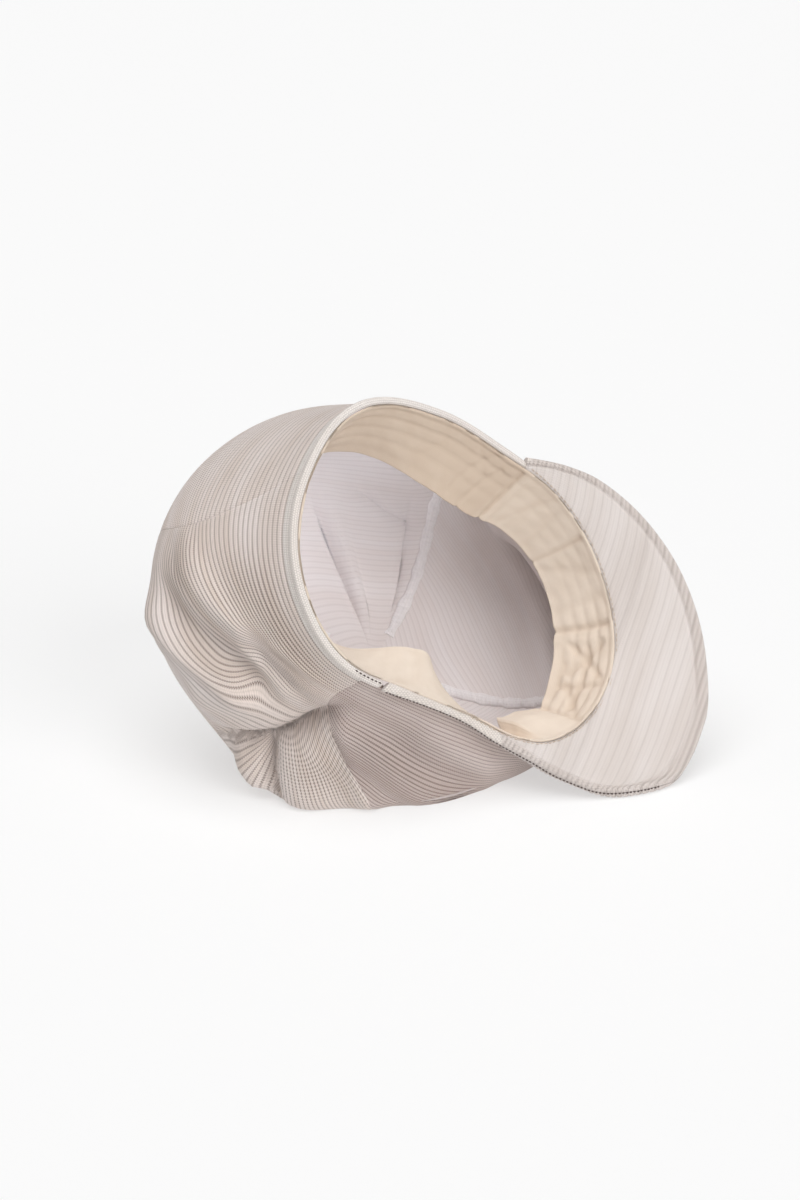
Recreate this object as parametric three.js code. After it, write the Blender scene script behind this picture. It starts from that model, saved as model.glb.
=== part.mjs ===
// Rib-knit baker-boy cap with a stiff peak, lying on the left side of its crown.
// Millimetres, Z up, floor at Z = 0. The hollow for the head faces up and to the right.
import * as THREE from 'three';

// Cloth
const WALL = 2.0;             // ribbed crown cloth
const PEAK_CLOTH = 2.0;       // ribbed cloth with its half of the stiff board
const BAND_CLOTH = 1.2;       // cotton sweatband, folded double
const GAP = 0.3;              // between sewn pieces
const SEAM_THICK = 1.3;       // turned seam allowance inside the crown
const CREST = 195;            // cloth length from the rim to the crown point
const GIRTH = 95;             // mm of girth that one radian of a fold's width stands for

// How the cap lies: unit directions of the worn cap and the height of its rim centre
const FRONT = new THREE.Vector3(0.7631, 0.1915, -0.6173);
const LEFT = new THREE.Vector3(-0.3388, -0.6948, -0.6344);
const UP = new THREE.Vector3(-0.5504, 0.6932, -0.4653);
const RIM_CENTRE = new THREE.Vector3(9.2, -24.7, 104.5);
const FLOOR_ROUND = 8;        // how gently the crown cloth turns onto the floor
const PEAK_ROUND = 3;

// Rim hem: a rounded roll
const HEM_IN = 2.4;
const HEM_OUT = 1.5;
const HEM_LOW = -2.4;
const CROWN_START = 1.3;      // height of the crown cloth's lower edge above the rim line
const BAND_OUT = 2.8;         // sweatband's outer face, inside the rim line

// Crown point of the worn cap, sagged down by its own weight
const CROWN_POINT = { front: 28, left: 13, rise: 104 };
const BELLY_ALONG = 0.40;
const TOP_ALONG = 0.74;
const PANEL_END = 0.972;      // last row of a panel before its tip
const PANEL_TIP = 0.994;

// Meridian sections. at: degrees from the front toward the wearer's left.
// rim, belly, top: distance out from the axis; rise: height above the rim.
const SECTIONS = [
  { at: 0, rim: 104, belly: 98, bellyRise: 44, top: 62, topRise: 76 },
  { at: 30, rim: 98, belly: 106, bellyRise: 46, top: 66, topRise: 80 },
  { at: 60, rim: 73, belly: 120, bellyRise: 50, top: 74, topRise: 88 },
  { at: 90, rim: 70, belly: 116, bellyRise: 62, top: 78, topRise: 98 },
  { at: 120, rim: 83, belly: 113, bellyRise: 70, top: 78, topRise: 106 },
  { at: 150, rim: 88, belly: 125, bellyRise: 79, top: 82, topRise: 116 },
  { at: 180, rim: 89, belly: 121, bellyRise: 86, top: 80, topRise: 120 },
  { at: 210, rim: 90, belly: 111, bellyRise: 80, top: 75, topRise: 116 },
  { at: 240, rim: 78, belly: 95, bellyRise: 70, top: 61, topRise: 106 },
  { at: 270, rim: 72, belly: 83, bellyRise: 60, top: 54, topRise: 96 },
  { at: 300, rim: 80, belly: 86, bellyRise: 56, top: 58, topRise: 86 },
  { at: 330, rim: 92, belly: 90, bellyRise: 50, top: 60, topRise: 80 },
];

// Panel seams: angle of each seam at the rim, low, at the belly, above it and at the crown point.
// gap: between the panels; clear: from the cloth's inside to the allowance. Both are wider where it bends.
// width: of the allowance.
const SEAM_STEPS = [0, 0.12, 0.25, 0.45, 1];
const SEAMS = [
  { name: 'front', angles: [0, 0, 0, -2, 0], gap: GAP, clear: 1.2, width: 5.5 },
  { name: 'left', angles: [106, 105, 80, 72, 80], gap: 0.7, clear: 2.4, width: 3.6 },
  { name: 'back', angles: [180, 171, 167, 171, 178], gap: 0.4, clear: 1.2, width: 5.5 },
  { name: 'right', angles: [270, 269, 269, 268, 284], gap: GAP, clear: 1.2, width: 5.5 },
];

// Folds of the crown cloth: three points (at, along), half width and height.
// A height above zero is a ridge on the outside, below zero a valley.
const FOLDS = [
  { name: 'slit', path: [[101, 0.05], [109, 0.27], [122, 0.52]], width: 7, height: -14 },
  { name: 'upper lip', path: [[112, 0.07], [121, 0.24], [134, 0.46]], width: 7, height: 4 },
  { name: 'main lobe', path: [[98, 0.16], [97, 0.28], [90, 0.42]], width: 14, height: 6 },
  { name: 'small lobe', path: [[118, 0.4], [111, 0.43], [102, 0.46]], width: 8, height: 5 },
  { name: 'between the lobes', path: [[109, 0.27], [106, 0.34], [99, 0.43]], width: 5, height: -8 },
  { name: 'left seam ridge', path: [[106, 0.09], [91, 0.18], [72, 0.32]], width: 8, height: 5 },
  { name: 'upper fan', path: [[166, 0.3], [138, 0.17], [108, 0.12]], width: 7, height: 5 },
  { name: 'between the fans', path: [[160, 0.37], [134, 0.22], [110, 0.155]], width: 6, height: -5 },
  { name: 'lower fan', path: [[158, 0.46], [131, 0.28], [112, 0.19]], width: 9, height: 6 },
  { name: 'overlap', path: [[134, 0.125], [120, 0.1], [104, 0.095]], width: 4, height: 3 },
  { name: 'overlap edge', path: [[138, 0.155], [122, 0.13], [106, 0.125]], width: 4, height: -3 },
  { name: 'back tuck', path: [[224, 0.62], [229, 0.8], [232, 0.97]], width: 5, height: 5 },
  { name: 'tuck lip', path: [[229, 0.6], [235, 0.79], [240, 0.96]], width: 5, height: -4 },
  { name: 'back crease', path: [[238, 0.6], [252, 0.63], [268, 0.64]], width: 4, height: 4 },
  { name: 'turn of the right side', path: [[222, 0.52], [262, 0.46], [300, 0.47]], width: 7, height: 4 },
  { name: 'turn of the front', path: [[292, 0.47], [325, 0.41], [358, 0.44]], width: 7, height: 4 },
  { name: 'front swag', path: [[92, 0.1], [60, 0.17], [38, 0.24]], width: 9, height: -4 },
  { name: 'front roll', path: [[80, 0.06], [58, 0.09], [40, 0.13]], width: 8, height: 3 },
  { name: 'front low roll', path: [[74, 0.27], [56, 0.235], [40, 0.2]], width: 9, height: 4.5 },
];

// Peak: a row for each station along its seam, from the wearer's right corner to the left one.
// at: seam angle; front, left, drop: outer edge measured from the rim centre.
const PEAK = [
  { along: 0.000, at: -80, front: 13, left: -75, drop: 2 },
  { along: 0.060, at: -73, front: 34, left: -83, drop: 5 },
  { along: 0.115, at: -66, front: 54, left: -86, drop: 8 },
  { along: 0.185, at: -55, front: 80, left: -80, drop: 14 },
  { along: 0.255, at: -42, front: 104, left: -66, drop: 20 },
  { along: 0.325, at: -28, front: 123, left: -47, drop: 24 },
  { along: 0.390, at: -15, front: 137, left: -25, drop: 26 },
  { along: 0.475, at: 0, front: 147, left: 4, drop: 27 },
  { along: 0.560, at: 16, front: 144, left: 38, drop: 25 },
  { along: 0.620, at: 26, front: 134, left: 54, drop: 22 },
  { along: 0.660, at: 31, front: 120, left: 62, drop: 18 },
  { along: 0.735, at: 38, front: 91, left: 65.5, drop: 9 },
  { along: 0.800, at: 43, front: 73, left: 65, drop: 5 },
  { along: 0.860, at: 50, front: 54, left: 65, drop: 2 },
  { along: 0.910, at: 62, front: 34.5, left: 65, drop: 1.6 },
  { along: 0.955, at: 78, front: 14.5, left: 68.3, drop: 1.5 },
  { along: 1.000, at: 100, front: -13, left: 74.8, drop: 1.5 },
];
const PEAK_SEAM_IN = 1.2;     // the peak's seam edge, inside the rim line
const PEAK_SEAM_DROP = 1.4;
const PEAK_RIDGE = 7;         // stitched ridge along the outer edge
const PEAK_RIDGE_THICK = 0.7;

// Sweatband around the rim. lean: how far its free edge leans in; deep: how deep it reaches;
// low: height of its sewn edge, lower where it meets the peak.
const BAND = [
  { at: 0, lean: 16, deep: 24, low: -3 },
  { at: 15, lean: 10, deep: 26, low: -3 },
  { at: 30, lean: 8, deep: 26, low: -3 },
  { at: 45, lean: 13, deep: 24, low: -3 },
  { at: 60, lean: 20, deep: 20, low: -3 },
  { at: 75, lean: 26, deep: 12, low: -3 },
  { at: 90, lean: 26, deep: 14, low: -3 },
  { at: 105, lean: 23, deep: 18, low: -2.2 },
  { at: 118, lean: 16, deep: 22, low: -1.6 },
  { at: 135, lean: 8, deep: 25, low: -1.6 },
  { at: 160, lean: 4, deep: 27, low: -1.6 },
  { at: 190, lean: 3, deep: 28, low: -1.6 },
  { at: 210, lean: 14, deep: 25, low: -1.6 },
  { at: 225, lean: 24, deep: 20, low: -1.6 },
  { at: 240, lean: 28, deep: 18, low: -1.6 },
  { at: 255, lean: 28, deep: 18, low: -1.6 },
  { at: 270, lean: 27, deep: 19, low: -1.8 },
  { at: 285, lean: 26, deep: 20, low: -2.6 },
  { at: 300, lean: 22, deep: 21, low: -3 },
  { at: 315, lean: 18, deep: 23, low: -3 },
  { at: 330, lean: 15, deep: 24, low: -3 },
  { at: 345, lean: 16, deep: 24, low: -3 },
];
const BAND_JOIN = 38;         // angle where the sweatband's two ends meet
const HEM_FROM = 102;
const HEM_TO = 279;
const PEAK_ENDS_IN = 0.006;     // share of the peak's edge left off at each corner, clear of the hem

// Panels: the seams they run between and how finely their cloth is stepped.
// The lower back panel holds the folds gathered at the rim, so its steps are the finest,
// and a thicken above 1 sets its columns closer near its first seam.
const PANELS = [
  { name: 'crown_front_left', from: 'front', to: 'left', rows: 40, columns: 10, thicken: 1 },
  { name: 'crown_back_left', from: 'left', to: 'back', rows: 40, columns: 24, thicken: 1.25 },
  { name: 'crown_back_right', from: 'back', to: 'right', rows: 20, columns: 13, thicken: 1 },
  { name: 'crown_front_right', from: 'right', to: 'front', rows: 20, columns: 12, thicken: 1 },
];
const SEAM_ROWS = { from: 4, to: 19, of: 20 };
const HEM_STEPS = 36;
const BAND_STEPS = 60;
const BAND_ROWS = [0, 0.5, 1];
const PEAK_STEPS = 34;
const PEAK_COLUMNS_ACROSS = [0, 0.33, 0.66];

const RAD = Math.PI / 180;
const clamp = (x, low, high) => Math.min(high, Math.max(low, x));
const ease = (x) => {
  const t = clamp(x, 0, 1);
  return t * t * (3 - 2 * t);
};

// Smooth curve through two values with two slopes
function hermite(t, from, to, slopeFrom, slopeTo) {
  const t2 = t * t;
  const t3 = t2 * t;
  return (2 * t3 - 3 * t2 + 1) * from + (t3 - 2 * t2 + t) * slopeFrom
    + (3 * t2 - 2 * t3) * to + (t3 - t2) * slopeTo;
}

// Smooth curve through a column of a table; period closes it into a loop
function through(places, values, place, period = 0) {
  const n = places.length;
  let x = place;
  if (period) x = ((place - places[0]) % period + period) % period + places[0];
  const X = (i) => (period ? places[(i + n) % n] + period * Math.floor(i / n) : places[clamp(i, 0, n - 1)]);
  const Y = (i) => (period ? values[(i + n) % n] : values[clamp(i, 0, n - 1)]);
  const slope = (i) => (Y(i + 1) - Y(i - 1)) / (X(i + 1) - X(i - 1));
  let i = 0;
  const last = period ? n - 1 : n - 2;
  while (i < last && x >= X(i + 1)) i += 1;
  const step = X(i + 1) - X(i);
  return hermite((x - X(i)) / step, Y(i), Y(i + 1), slope(i) * step, slope(i + 1) * step);
}

const column = (table, name) => table.map((row) => row[name]);
const SECTION_AT = column(SECTIONS, 'at');
const SECTION = Object.fromEntries(
  ['rim', 'belly', 'bellyRise', 'top', 'topRise'].map((name) => [name, column(SECTIONS, name)]),
);
const sectionAt = (name, degrees) => through(SECTION_AT, SECTION[name], degrees, 360);

// From the worn cap's front, left and up measures to the place where it lies
function lie(front, left, up) {
  return RIM_CENTRE.clone()
    .addScaledVector(FRONT, front)
    .addScaledVector(LEFT, left)
    .addScaledVector(UP, up);
}

// Cloth that would reach below a level is pressed flat onto it, with a soft turn
function press(point, level, round) {
  const over = point.z - level;
  const soft = Math.max(0, round - Math.abs(over)) / round;
  point.z = level + Math.max(over, 0) + soft * soft * round / 4;
  return point;
}

// Smooth crown before its folds: a meridian through rim, belly, top and crown point
function smoothCrown(degrees, along) {
  const rim = sectionAt('rim', degrees);
  const belly = sectionAt('belly', degrees);
  const bellyRise = sectionAt('bellyRise', degrees);
  const top = sectionAt('top', degrees);
  const topRise = sectionAt('topRise', degrees);
  const low = BELLY_ALONG;
  const mid = TOP_ALONG - BELLY_ALONG;
  const high = 1 - TOP_ALONG;
  const out = [rim, belly, top, 0];
  const rise = [CROWN_START, bellyRise, topRise, CROWN_POINT.rise];
  const outSlope = [
    (belly - rim) * 0.8 / low,
    ((belly - rim) / low + (top - belly) / mid) / 2,
    ((top - belly) / mid - top / high) / 2,
    -top / high,
  ];
  const riseSlope = [
    (bellyRise - CROWN_START) * 1.15 / low,
    ((bellyRise - CROWN_START) / low + (topRise - bellyRise) / mid) / 2,
    ((topRise - bellyRise) / mid + (CROWN_POINT.rise - topRise) / high) / 2,
    0,
  ];
  const knots = [0, BELLY_ALONG, TOP_ALONG, 1];
  let k = 0;
  while (k < 2 && along > knots[k + 1]) k += 1;
  const span = knots[k + 1] - knots[k];
  const t = (along - knots[k]) / span;
  const far = hermite(t, out[k], out[k + 1], outSlope[k] * span, outSlope[k + 1] * span);
  const high2 = hermite(t, rise[k], rise[k + 1], riseSlope[k] * span, riseSlope[k + 1] * span);
  const drift = ease(along);
  return lie(
    far * Math.cos(degrees * RAD) + drift * CROWN_POINT.front,
    far * Math.sin(degrees * RAD) + drift * CROWN_POINT.left,
    high2,
  );
}

// Height of all folds at one place of the crown cloth
function foldHeight(degrees, along) {
  let total = 0;
  for (const fold of FOLDS) {
    const [start, via, end] = fold.path;
    const x = (((degrees - via[0] + 180) % 360 + 360) % 360 - 180) * RAD * GIRTH;
    const y = (along - via[1]) * CREST;
    const legs = [start, end].map(([at, far]) => {
      const legX = (at - via[0]) * RAD * GIRTH;
      const legY = (far - via[1]) * CREST;
      const length = Math.hypot(legX, legY);
      const t = clamp((x * legX + y * legY) / (length * length), 0, 1);
      return { length, reach: t * length, off: Math.hypot(x - t * legX, y - t * legY) };
    });
    const first = legs[0].off < legs[1].off;
    const off = Math.min(legs[0].off, legs[1].off);
    const whole = legs[0].length + legs[1].length;
    const place = first ? legs[0].length - legs[0].reach : legs[0].length + legs[1].reach;
    const fade = ease(Math.min(place, whole - place) / (0.25 * whole));
    total += fold.height * fade * Math.exp(-((off / fold.width) ** 2));
  }
  return total * ease(along / 0.06);
}

// Outward direction of a surface given as a function of two places
function outward(surface, a, b, stepA, stepB) {
  const alongA = surface(a + stepA, b).sub(surface(a - stepA, b));
  const alongB = surface(a, b + stepB).sub(surface(a, b - stepB));
  return alongA.cross(alongB).normalize();
}

function foldedCrown(degrees, along) {
  const middle = clamp(along, 0.01, 0.985);
  const way = outward(smoothCrown, degrees, middle, 0.5, 0.005);
  return smoothCrown(degrees, along).addScaledVector(way, foldHeight(degrees, along));
}

const crownOutside = (degrees, along) => press(foldedCrown(degrees, along), 0, FLOOR_ROUND);

// Place inside the crown cloth, a depth below its outside
function crownAt(degrees, along, depth) {
  const middle = clamp(along, 0.015, 0.98);
  const way = outward(crownOutside, degrees, middle, 1.2, 0.012);
  const point = crownOutside(degrees, along).addScaledVector(way, -depth);
  point.z = Math.max(point.z, depth);
  return point;
}

// Turns lists of points and triangles into a mesh whose faces look outward
function solid(name, colour, points, faces) {
  const positions = [];
  for (const p of points) positions.push(p.x, p.y, p.z);
  let volume = 0;
  for (const [a, b, c] of faces) {
    volume += points[a].dot(new THREE.Vector3().crossVectors(points[b], points[c])) / 6;
  }
  const index = faces.flatMap(([a, b, c]) => (volume > 0 ? [a, b, c] : [a, c, b]));
  const geometry = new THREE.BufferGeometry();
  geometry.setAttribute('position', new THREE.Float32BufferAttribute(positions, 3));
  geometry.setIndex(index);
  geometry.computeVertexNormals();
  const mesh = new THREE.Mesh(geometry, new THREE.MeshStandardMaterial({ color: colour, roughness: 0.95 }));
  mesh.name = name;
  return mesh;
}

// A sheet with two faces: grid[row][column] holds {face, back}; an optional tip closes the last row
function sheet(name, colour, grid, tip = null) {
  const points = [];
  const rows = grid.length;
  const columns = grid[0].length;
  for (const row of grid) for (const place of row) points.push(place.face, place.back);
  const face = (i, j) => (i * columns + j) * 2;
  const back = (i, j) => face(i, j) + 1;
  const faces = [];
  const four = (a, b, c, d) => faces.push([a, b, c], [a, c, d]);
  for (let i = 0; i + 1 < rows; i += 1) {
    for (let j = 0; j + 1 < columns; j += 1) {
      four(face(i, j), face(i, j + 1), face(i + 1, j + 1), face(i + 1, j));
      four(back(i, j), back(i + 1, j), back(i + 1, j + 1), back(i, j + 1));
    }
    four(face(i, 0), face(i + 1, 0), back(i + 1, 0), back(i, 0));
    four(face(i, columns - 1), back(i, columns - 1), back(i + 1, columns - 1), face(i + 1, columns - 1));
  }
  for (let j = 0; j + 1 < columns; j += 1) four(face(0, j), back(0, j), back(0, j + 1), face(0, j + 1));
  const end = rows - 1;
  if (tip) {
    points.push(tip.face, tip.back);
    const t = points.length - 2;
    for (let j = 0; j + 1 < columns; j += 1) {
      faces.push([face(end, j), face(end, j + 1), t], [back(end, j), t + 1, back(end, j + 1)]);
    }
    four(face(end, 0), t, t + 1, back(end, 0));
    four(face(end, columns - 1), back(end, columns - 1), t + 1, t);
  } else {
    for (let j = 0; j + 1 < columns; j += 1) {
      four(face(end, j), face(end, j + 1), back(end, j + 1), back(end, j));
    }
  }
  return solid(name, colour, points, faces);
}

// A round-edged strip: rings[i] is a loop of points, capped at both ends
function strip(name, colour, rings) {
  const size = rings[0].length;
  const points = rings.flat();
  const faces = [];
  for (let i = 0; i + 1 < rings.length; i += 1) {
    for (let j = 0; j < size; j += 1) {
      const next = (j + 1) % size;
      const a = i * size;
      const b = a + size;
      faces.push([a + j, a + next, b + next], [a + j, b + next, b + j]);
    }
  }
  const last = (rings.length - 1) * size;
  for (let j = 1; j + 1 < size; j += 1) {
    faces.push([0, j + 1, j], [last, last + j, last + j + 1]);
  }
  return solid(name, colour, points, faces);
}

const seamAngle = (seam, along) => through(SEAM_STEPS, seam.angles, along);

// Half a width measured square across a seam, as an angle about the crown's axis
function halfAcross(seam, along, width) {
  const degrees = seamAngle(seam, along);
  const run = crownOutside(seamAngle(seam, along + 0.01), along + 0.01)
    .sub(crownOutside(seamAngle(seam, along - 0.01), along - 0.01))
    .normalize();
  const perDegree = crownOutside(degrees + 0.5, along).sub(crownOutside(degrees - 0.5, along));
  return width / 2 / perDegree.cross(run).length();
}

function crownPanel(colour, { name, from: first, to: second, rows, columns, thicken }) {
  const from = SEAMS.find((seam) => seam.name === first);
  const to = SEAMS.find((seam) => seam.name === second);
  const turn = to.angles[0] > from.angles[0] ? 0 : 360;
  const grid = [];
  for (let i = 0; i <= rows; i += 1) {
    const along = PANEL_END * i / rows;
    const place = Math.max(along, 0.01);
    const start = seamAngle(from, along) + halfAcross(from, place, from.gap);
    const end = seamAngle(to, along) + turn - halfAcross(to, place, to.gap);
    const row = [];
    for (let j = 0; j <= columns; j += 1) {
      const degrees = start + (end - start) * (j / columns) ** thicken;
      row.push({ face: crownAt(degrees, along, 0), back: crownAt(degrees, along, WALL) });
    }
    grid.push(row);
  }
  const middle = (seamAngle(from, 1) + seamAngle(to, 1) + turn) / 2;
  const tip = { face: crownAt(middle, PANEL_TIP, 0), back: crownAt(middle, PANEL_TIP, WALL) };
  return sheet(name, colour, grid, tip);
}

// Turned seam allowance: a thin raised strip on the inside of a panel seam
function seamStrip(name, colour, seam) {
  const profile = [[-1, 0], [-0.7, 0.9], [0, 1], [0.7, 0.9], [1, 0]];
  const rings = [];
  for (let i = SEAM_ROWS.from; i <= SEAM_ROWS.to; i += 1) {
    const along = PANEL_END * i / SEAM_ROWS.of;
    const middle = seamAngle(seam, along);
    const spread = halfAcross(seam, along, seam.width);
    rings.push(profile.map(([side, height]) => (
      crownAt(middle + side * spread, along, WALL + seam.clear + SEAM_THICK * height)
    )));
  }
  return strip(name, colour, rings);
}

// Point of the rim line moved in toward the axis and up
function rimPoint(degrees, inward, up) {
  const out = sectionAt('rim', degrees) - inward;
  return lie(out * Math.cos(degrees * RAD), out * Math.sin(degrees * RAD), up);
}

function rimHem(name, colour) {
  const high = CROWN_START - GAP;
  const middle = (high + HEM_LOW) / 2;
  const profile = [
    [HEM_IN, middle - 0.7], [HEM_IN, middle + 0.7], [HEM_IN - 0.8, high], [0.8 - HEM_OUT, high],
    [-HEM_OUT, middle + 0.7], [-HEM_OUT, middle - 0.7], [0.8 - HEM_OUT, HEM_LOW], [HEM_IN - 0.8, HEM_LOW],
  ];
  const rings = [];
  for (let i = 0; i <= HEM_STEPS; i += 1) {
    const degrees = HEM_FROM + (HEM_TO - HEM_FROM) * i / HEM_STEPS;
    rings.push(profile.map(([inward, up]) => rimPoint(degrees, inward, up)));
  }
  return strip(name, colour, rings);
}

const BAND_AT = column(BAND, 'at');
const BAND_LEAN = column(BAND, 'lean');
const BAND_DEEP = column(BAND, 'deep');
const BAND_LOW = column(BAND, 'low');

function bandPoint(degrees, down, depth) {
  const lean = through(BAND_AT, BAND_LEAN, degrees, 360);
  const deep = through(BAND_AT, BAND_DEEP, degrees, 360);
  const low = through(BAND_AT, BAND_LOW, degrees, 360);
  return rimPoint(degrees, BAND_OUT + depth + lean * down ** 1.4, low + (deep - low) * down);
}

function sweatband(name, colour) {
  const grid = [];
  const end = GAP / 90 / RAD;
  for (let i = 0; i <= BAND_STEPS; i += 1) {
    const degrees = BAND_JOIN + end + (360 - 2 * end) * i / BAND_STEPS;
    grid.push(BAND_ROWS.map((down) => (
      { face: bandPoint(degrees, down, 0), back: bandPoint(degrees, down, BAND_CLOTH) }
    )));
  }
  return sheet(name, colour, grid);
}

const PEAK_ALONG = column(PEAK, 'along');
const PEAK_COLUMNS = Object.fromEntries(
  ['at', 'front', 'left', 'drop'].map((name) => [name, column(PEAK, name)]),
);
const peakAt = (name, along) => through(PEAK_ALONG, PEAK_COLUMNS[name], along);

// Middle surface of the peak; across runs from 0 at the seam to 1 at the outer edge
function peakMiddle(along, across) {
  const seam = rimPoint(peakAt('at', along), PEAK_SEAM_IN, -PEAK_SEAM_DROP);
  const edge = lie(peakAt('front', along), peakAt('left', along), -peakAt('drop', along));
  return press(seam.lerp(edge, across), PEAK_CLOTH + GAP / 2 + PEAK_RIDGE_THICK, PEAK_ROUND);
}

function peakPoint(along, across, depth) {
  const way = outward(peakMiddle, clamp(along, 0.02, 0.98), clamp(across, 0.02, 0.98), 0.01, 0.02);
  return peakMiddle(along, across).addScaledVector(way, depth);
}

// One cloth of the peak, on the side given by 1 or -1, with a thicker ridge at the edge
function peakCover(name, colour, side) {
  const grid = [];
  for (let i = 0; i <= PEAK_STEPS; i += 1) {
    const along = PEAK_ENDS_IN + (1 - 2 * PEAK_ENDS_IN) * i / PEAK_STEPS;
    const width = peakMiddle(along, 0).distanceTo(peakMiddle(along, 1));
    const ridge = Math.max(0.7, 1 - PEAK_RIDGE / width);
    const steps = [...PEAK_COLUMNS_ACROSS.map((step) => step * ridge), ridge, (ridge + 1) / 2, 1];
    grid.push(steps.map((across, j) => {
      const extra = j === steps.length - 2 ? PEAK_RIDGE_THICK : 0;
      return {
        face: peakPoint(along, across, side * (GAP / 2 + PEAK_CLOTH + extra)),
        back: peakPoint(along, across, side * GAP / 2),
      };
    }));
  }
  return sheet(name, colour, grid);
}

const cap = new THREE.Group();
cap.name = 'baker_boy_cap';
for (const panel of PANELS) cap.add(crownPanel(0xd8ccc5, panel));
for (const seam of SEAMS) cap.add(seamStrip(`seam_${seam.name}`, 0xd2c6be, seam));
cap.add(rimHem('rim_hem', 0xdcd2cb));
cap.add(sweatband('sweatband', 0xe4d4c5));
cap.add(peakCover('peak_upper', 0xdcd3cb, -1));
cap.add(peakCover('peak_lower', 0xdcd3cb, 1));

export default cap;
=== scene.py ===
# %% [markdown]
# # A rib-knit baker-boy cap
# The cap lies on the side of its soft crown, with the hollow for the head toward the camera. Its crown is
# four ribbed panels, its peak is a stiff crescent covered in the same cloth, and a cream cotton sweatband
# lines the rim. Each piece is worked out as a surface from short tables of sizes, in millimetres, and then
# turned into cloth.

import math

import bpy
import numpy as np
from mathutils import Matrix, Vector


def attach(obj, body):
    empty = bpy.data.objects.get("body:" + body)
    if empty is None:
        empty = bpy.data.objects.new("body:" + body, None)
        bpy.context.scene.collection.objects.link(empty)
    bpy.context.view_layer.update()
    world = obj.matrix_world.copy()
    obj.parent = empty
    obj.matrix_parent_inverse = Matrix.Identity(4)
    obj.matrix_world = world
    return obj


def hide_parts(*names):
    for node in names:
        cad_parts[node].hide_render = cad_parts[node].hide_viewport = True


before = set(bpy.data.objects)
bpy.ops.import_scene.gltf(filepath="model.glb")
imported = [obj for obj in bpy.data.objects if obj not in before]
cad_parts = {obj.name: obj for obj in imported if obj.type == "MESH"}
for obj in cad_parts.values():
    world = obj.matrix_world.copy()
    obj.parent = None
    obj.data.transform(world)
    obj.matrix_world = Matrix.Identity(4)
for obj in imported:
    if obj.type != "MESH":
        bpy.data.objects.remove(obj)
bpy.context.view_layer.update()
print("solids:", sorted(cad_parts))

# %% [markdown]
# ## How the cap lies
# The cap is drawn as if it were worn, with measures to the front, to the wearer's left and up. Three
# directions and the place of the rim's centre then lay it down. The same three directions turn every piece
# alike, which is simpler than parenting each piece to a turned empty.

# %% Sizes
MM = 0.001
RAD = math.pi / 180
WALL = 2.0               # crown cloth
PEAK_CLOTH = 2.0         # each side of the peak, with half of the board
BAND_CLOTH = 1.2         # cotton sweatband, folded double
GAP = 0.3
CREST = 195.0            # cloth from the rim to the crown point
GIRTH = 95.0             # mm of girth that a radian of a fold's width stands for
RIB = 2.3                # from one rib to the next on the crown

FRONT = np.array([0.7631, 0.1915, -0.6173])
LEFT = np.array([-0.3388, -0.6948, -0.6344])
UP = np.array([-0.5504, 0.6932, -0.4653])
RIM_CENTRE = np.array([9.2, -24.7, 104.5])
FLOOR_ROUND = 8.0        # how gently cloth turns onto the floor
PEAK_ROUND = 3.0


def lie(front, left, up):
    """The place where a point of the worn cap lies."""
    front, left, up = np.broadcast_arrays(front, left, up)
    return RIM_CENTRE + front[..., None] * FRONT + left[..., None] * LEFT + up[..., None] * UP


def press(points, level, soft):
    """Cloth below a level is pressed flat onto it."""
    over = points[..., 2] - level
    turn = np.clip(soft - np.abs(over), 0, None) / soft
    pressed = points.copy()
    pressed[..., 2] = level + np.maximum(over, 0) + turn * turn * soft / 4
    return pressed


print("rim centre", RIM_CENTRE, "mm")

# %% [markdown]
# ## Curves through tables
# Every shape is a smooth curve through a few rows of a table. A Hermite curve passes through each row and
# takes its slope from the rows on both sides, so one row can be changed without upsetting the rest.

# %% Curve helpers
def ease(x):
    t = np.clip(x, 0, 1)
    return t * t * (3 - 2 * t)


def hermite(t, start, end, slope_start, slope_end):
    t2, t3 = t * t, t * t * t
    return ((2 * t3 - 3 * t2 + 1) * start + (t3 - 2 * t2 + t) * slope_start
            + (3 * t2 - 2 * t3) * end + (t3 - t2) * slope_end)


def through(places, values, place, period=0):
    """A smooth curve through a column of a table; a period closes it into a loop."""
    x, y = np.array(places, float), np.array(values, float)
    place = np.asarray(place, float)
    if period:
        place = np.mod(place - x[0], period) + x[0]
        x = np.concatenate([[x[-1] - period], x, x[:2] + period])
        y = np.concatenate([[y[-1]], y, y[:2]])
    ahead, behind = np.minimum(np.arange(len(x)) + 1, len(x) - 1), np.maximum(np.arange(len(x)) - 1, 0)
    slope = (y[ahead] - y[behind]) / (x[ahead] - x[behind])
    i = np.clip(np.searchsorted(x, place, side="right") - 1, 0, len(x) - 2)
    step = x[i + 1] - x[i]
    return hermite((place - x[i]) / step, y[i], y[i + 1], slope[i] * step, slope[i + 1] * step)


class Table:
    """Rows with named columns, read as smooth curves of the first column."""

    def __init__(self, names, rows, period=0):
        self.names, self.rows, self.period = names.split(), rows, period

    def at(self, name, place):
        column = self.names.index(name)
        return through([r[0] for r in self.rows], [r[column] for r in self.rows], place, self.period)


# %% [markdown]
# ## The crown's form
# The crown could be sculpted, but a table keeps its sizes plain. Each row is a meridian: how far the rim,
# the belly and the top stand out from the axis, and how high the belly and the top are. The crown point has
# sagged down and forward under the cloth's weight.

# %% Crown tables
CROWN_START = 1.3
POINT_FRONT, POINT_LEFT, POINT_RISE = 28.0, 13.0, 104.0
BELLY_ALONG, TOP_ALONG = 0.40, 0.74

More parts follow.
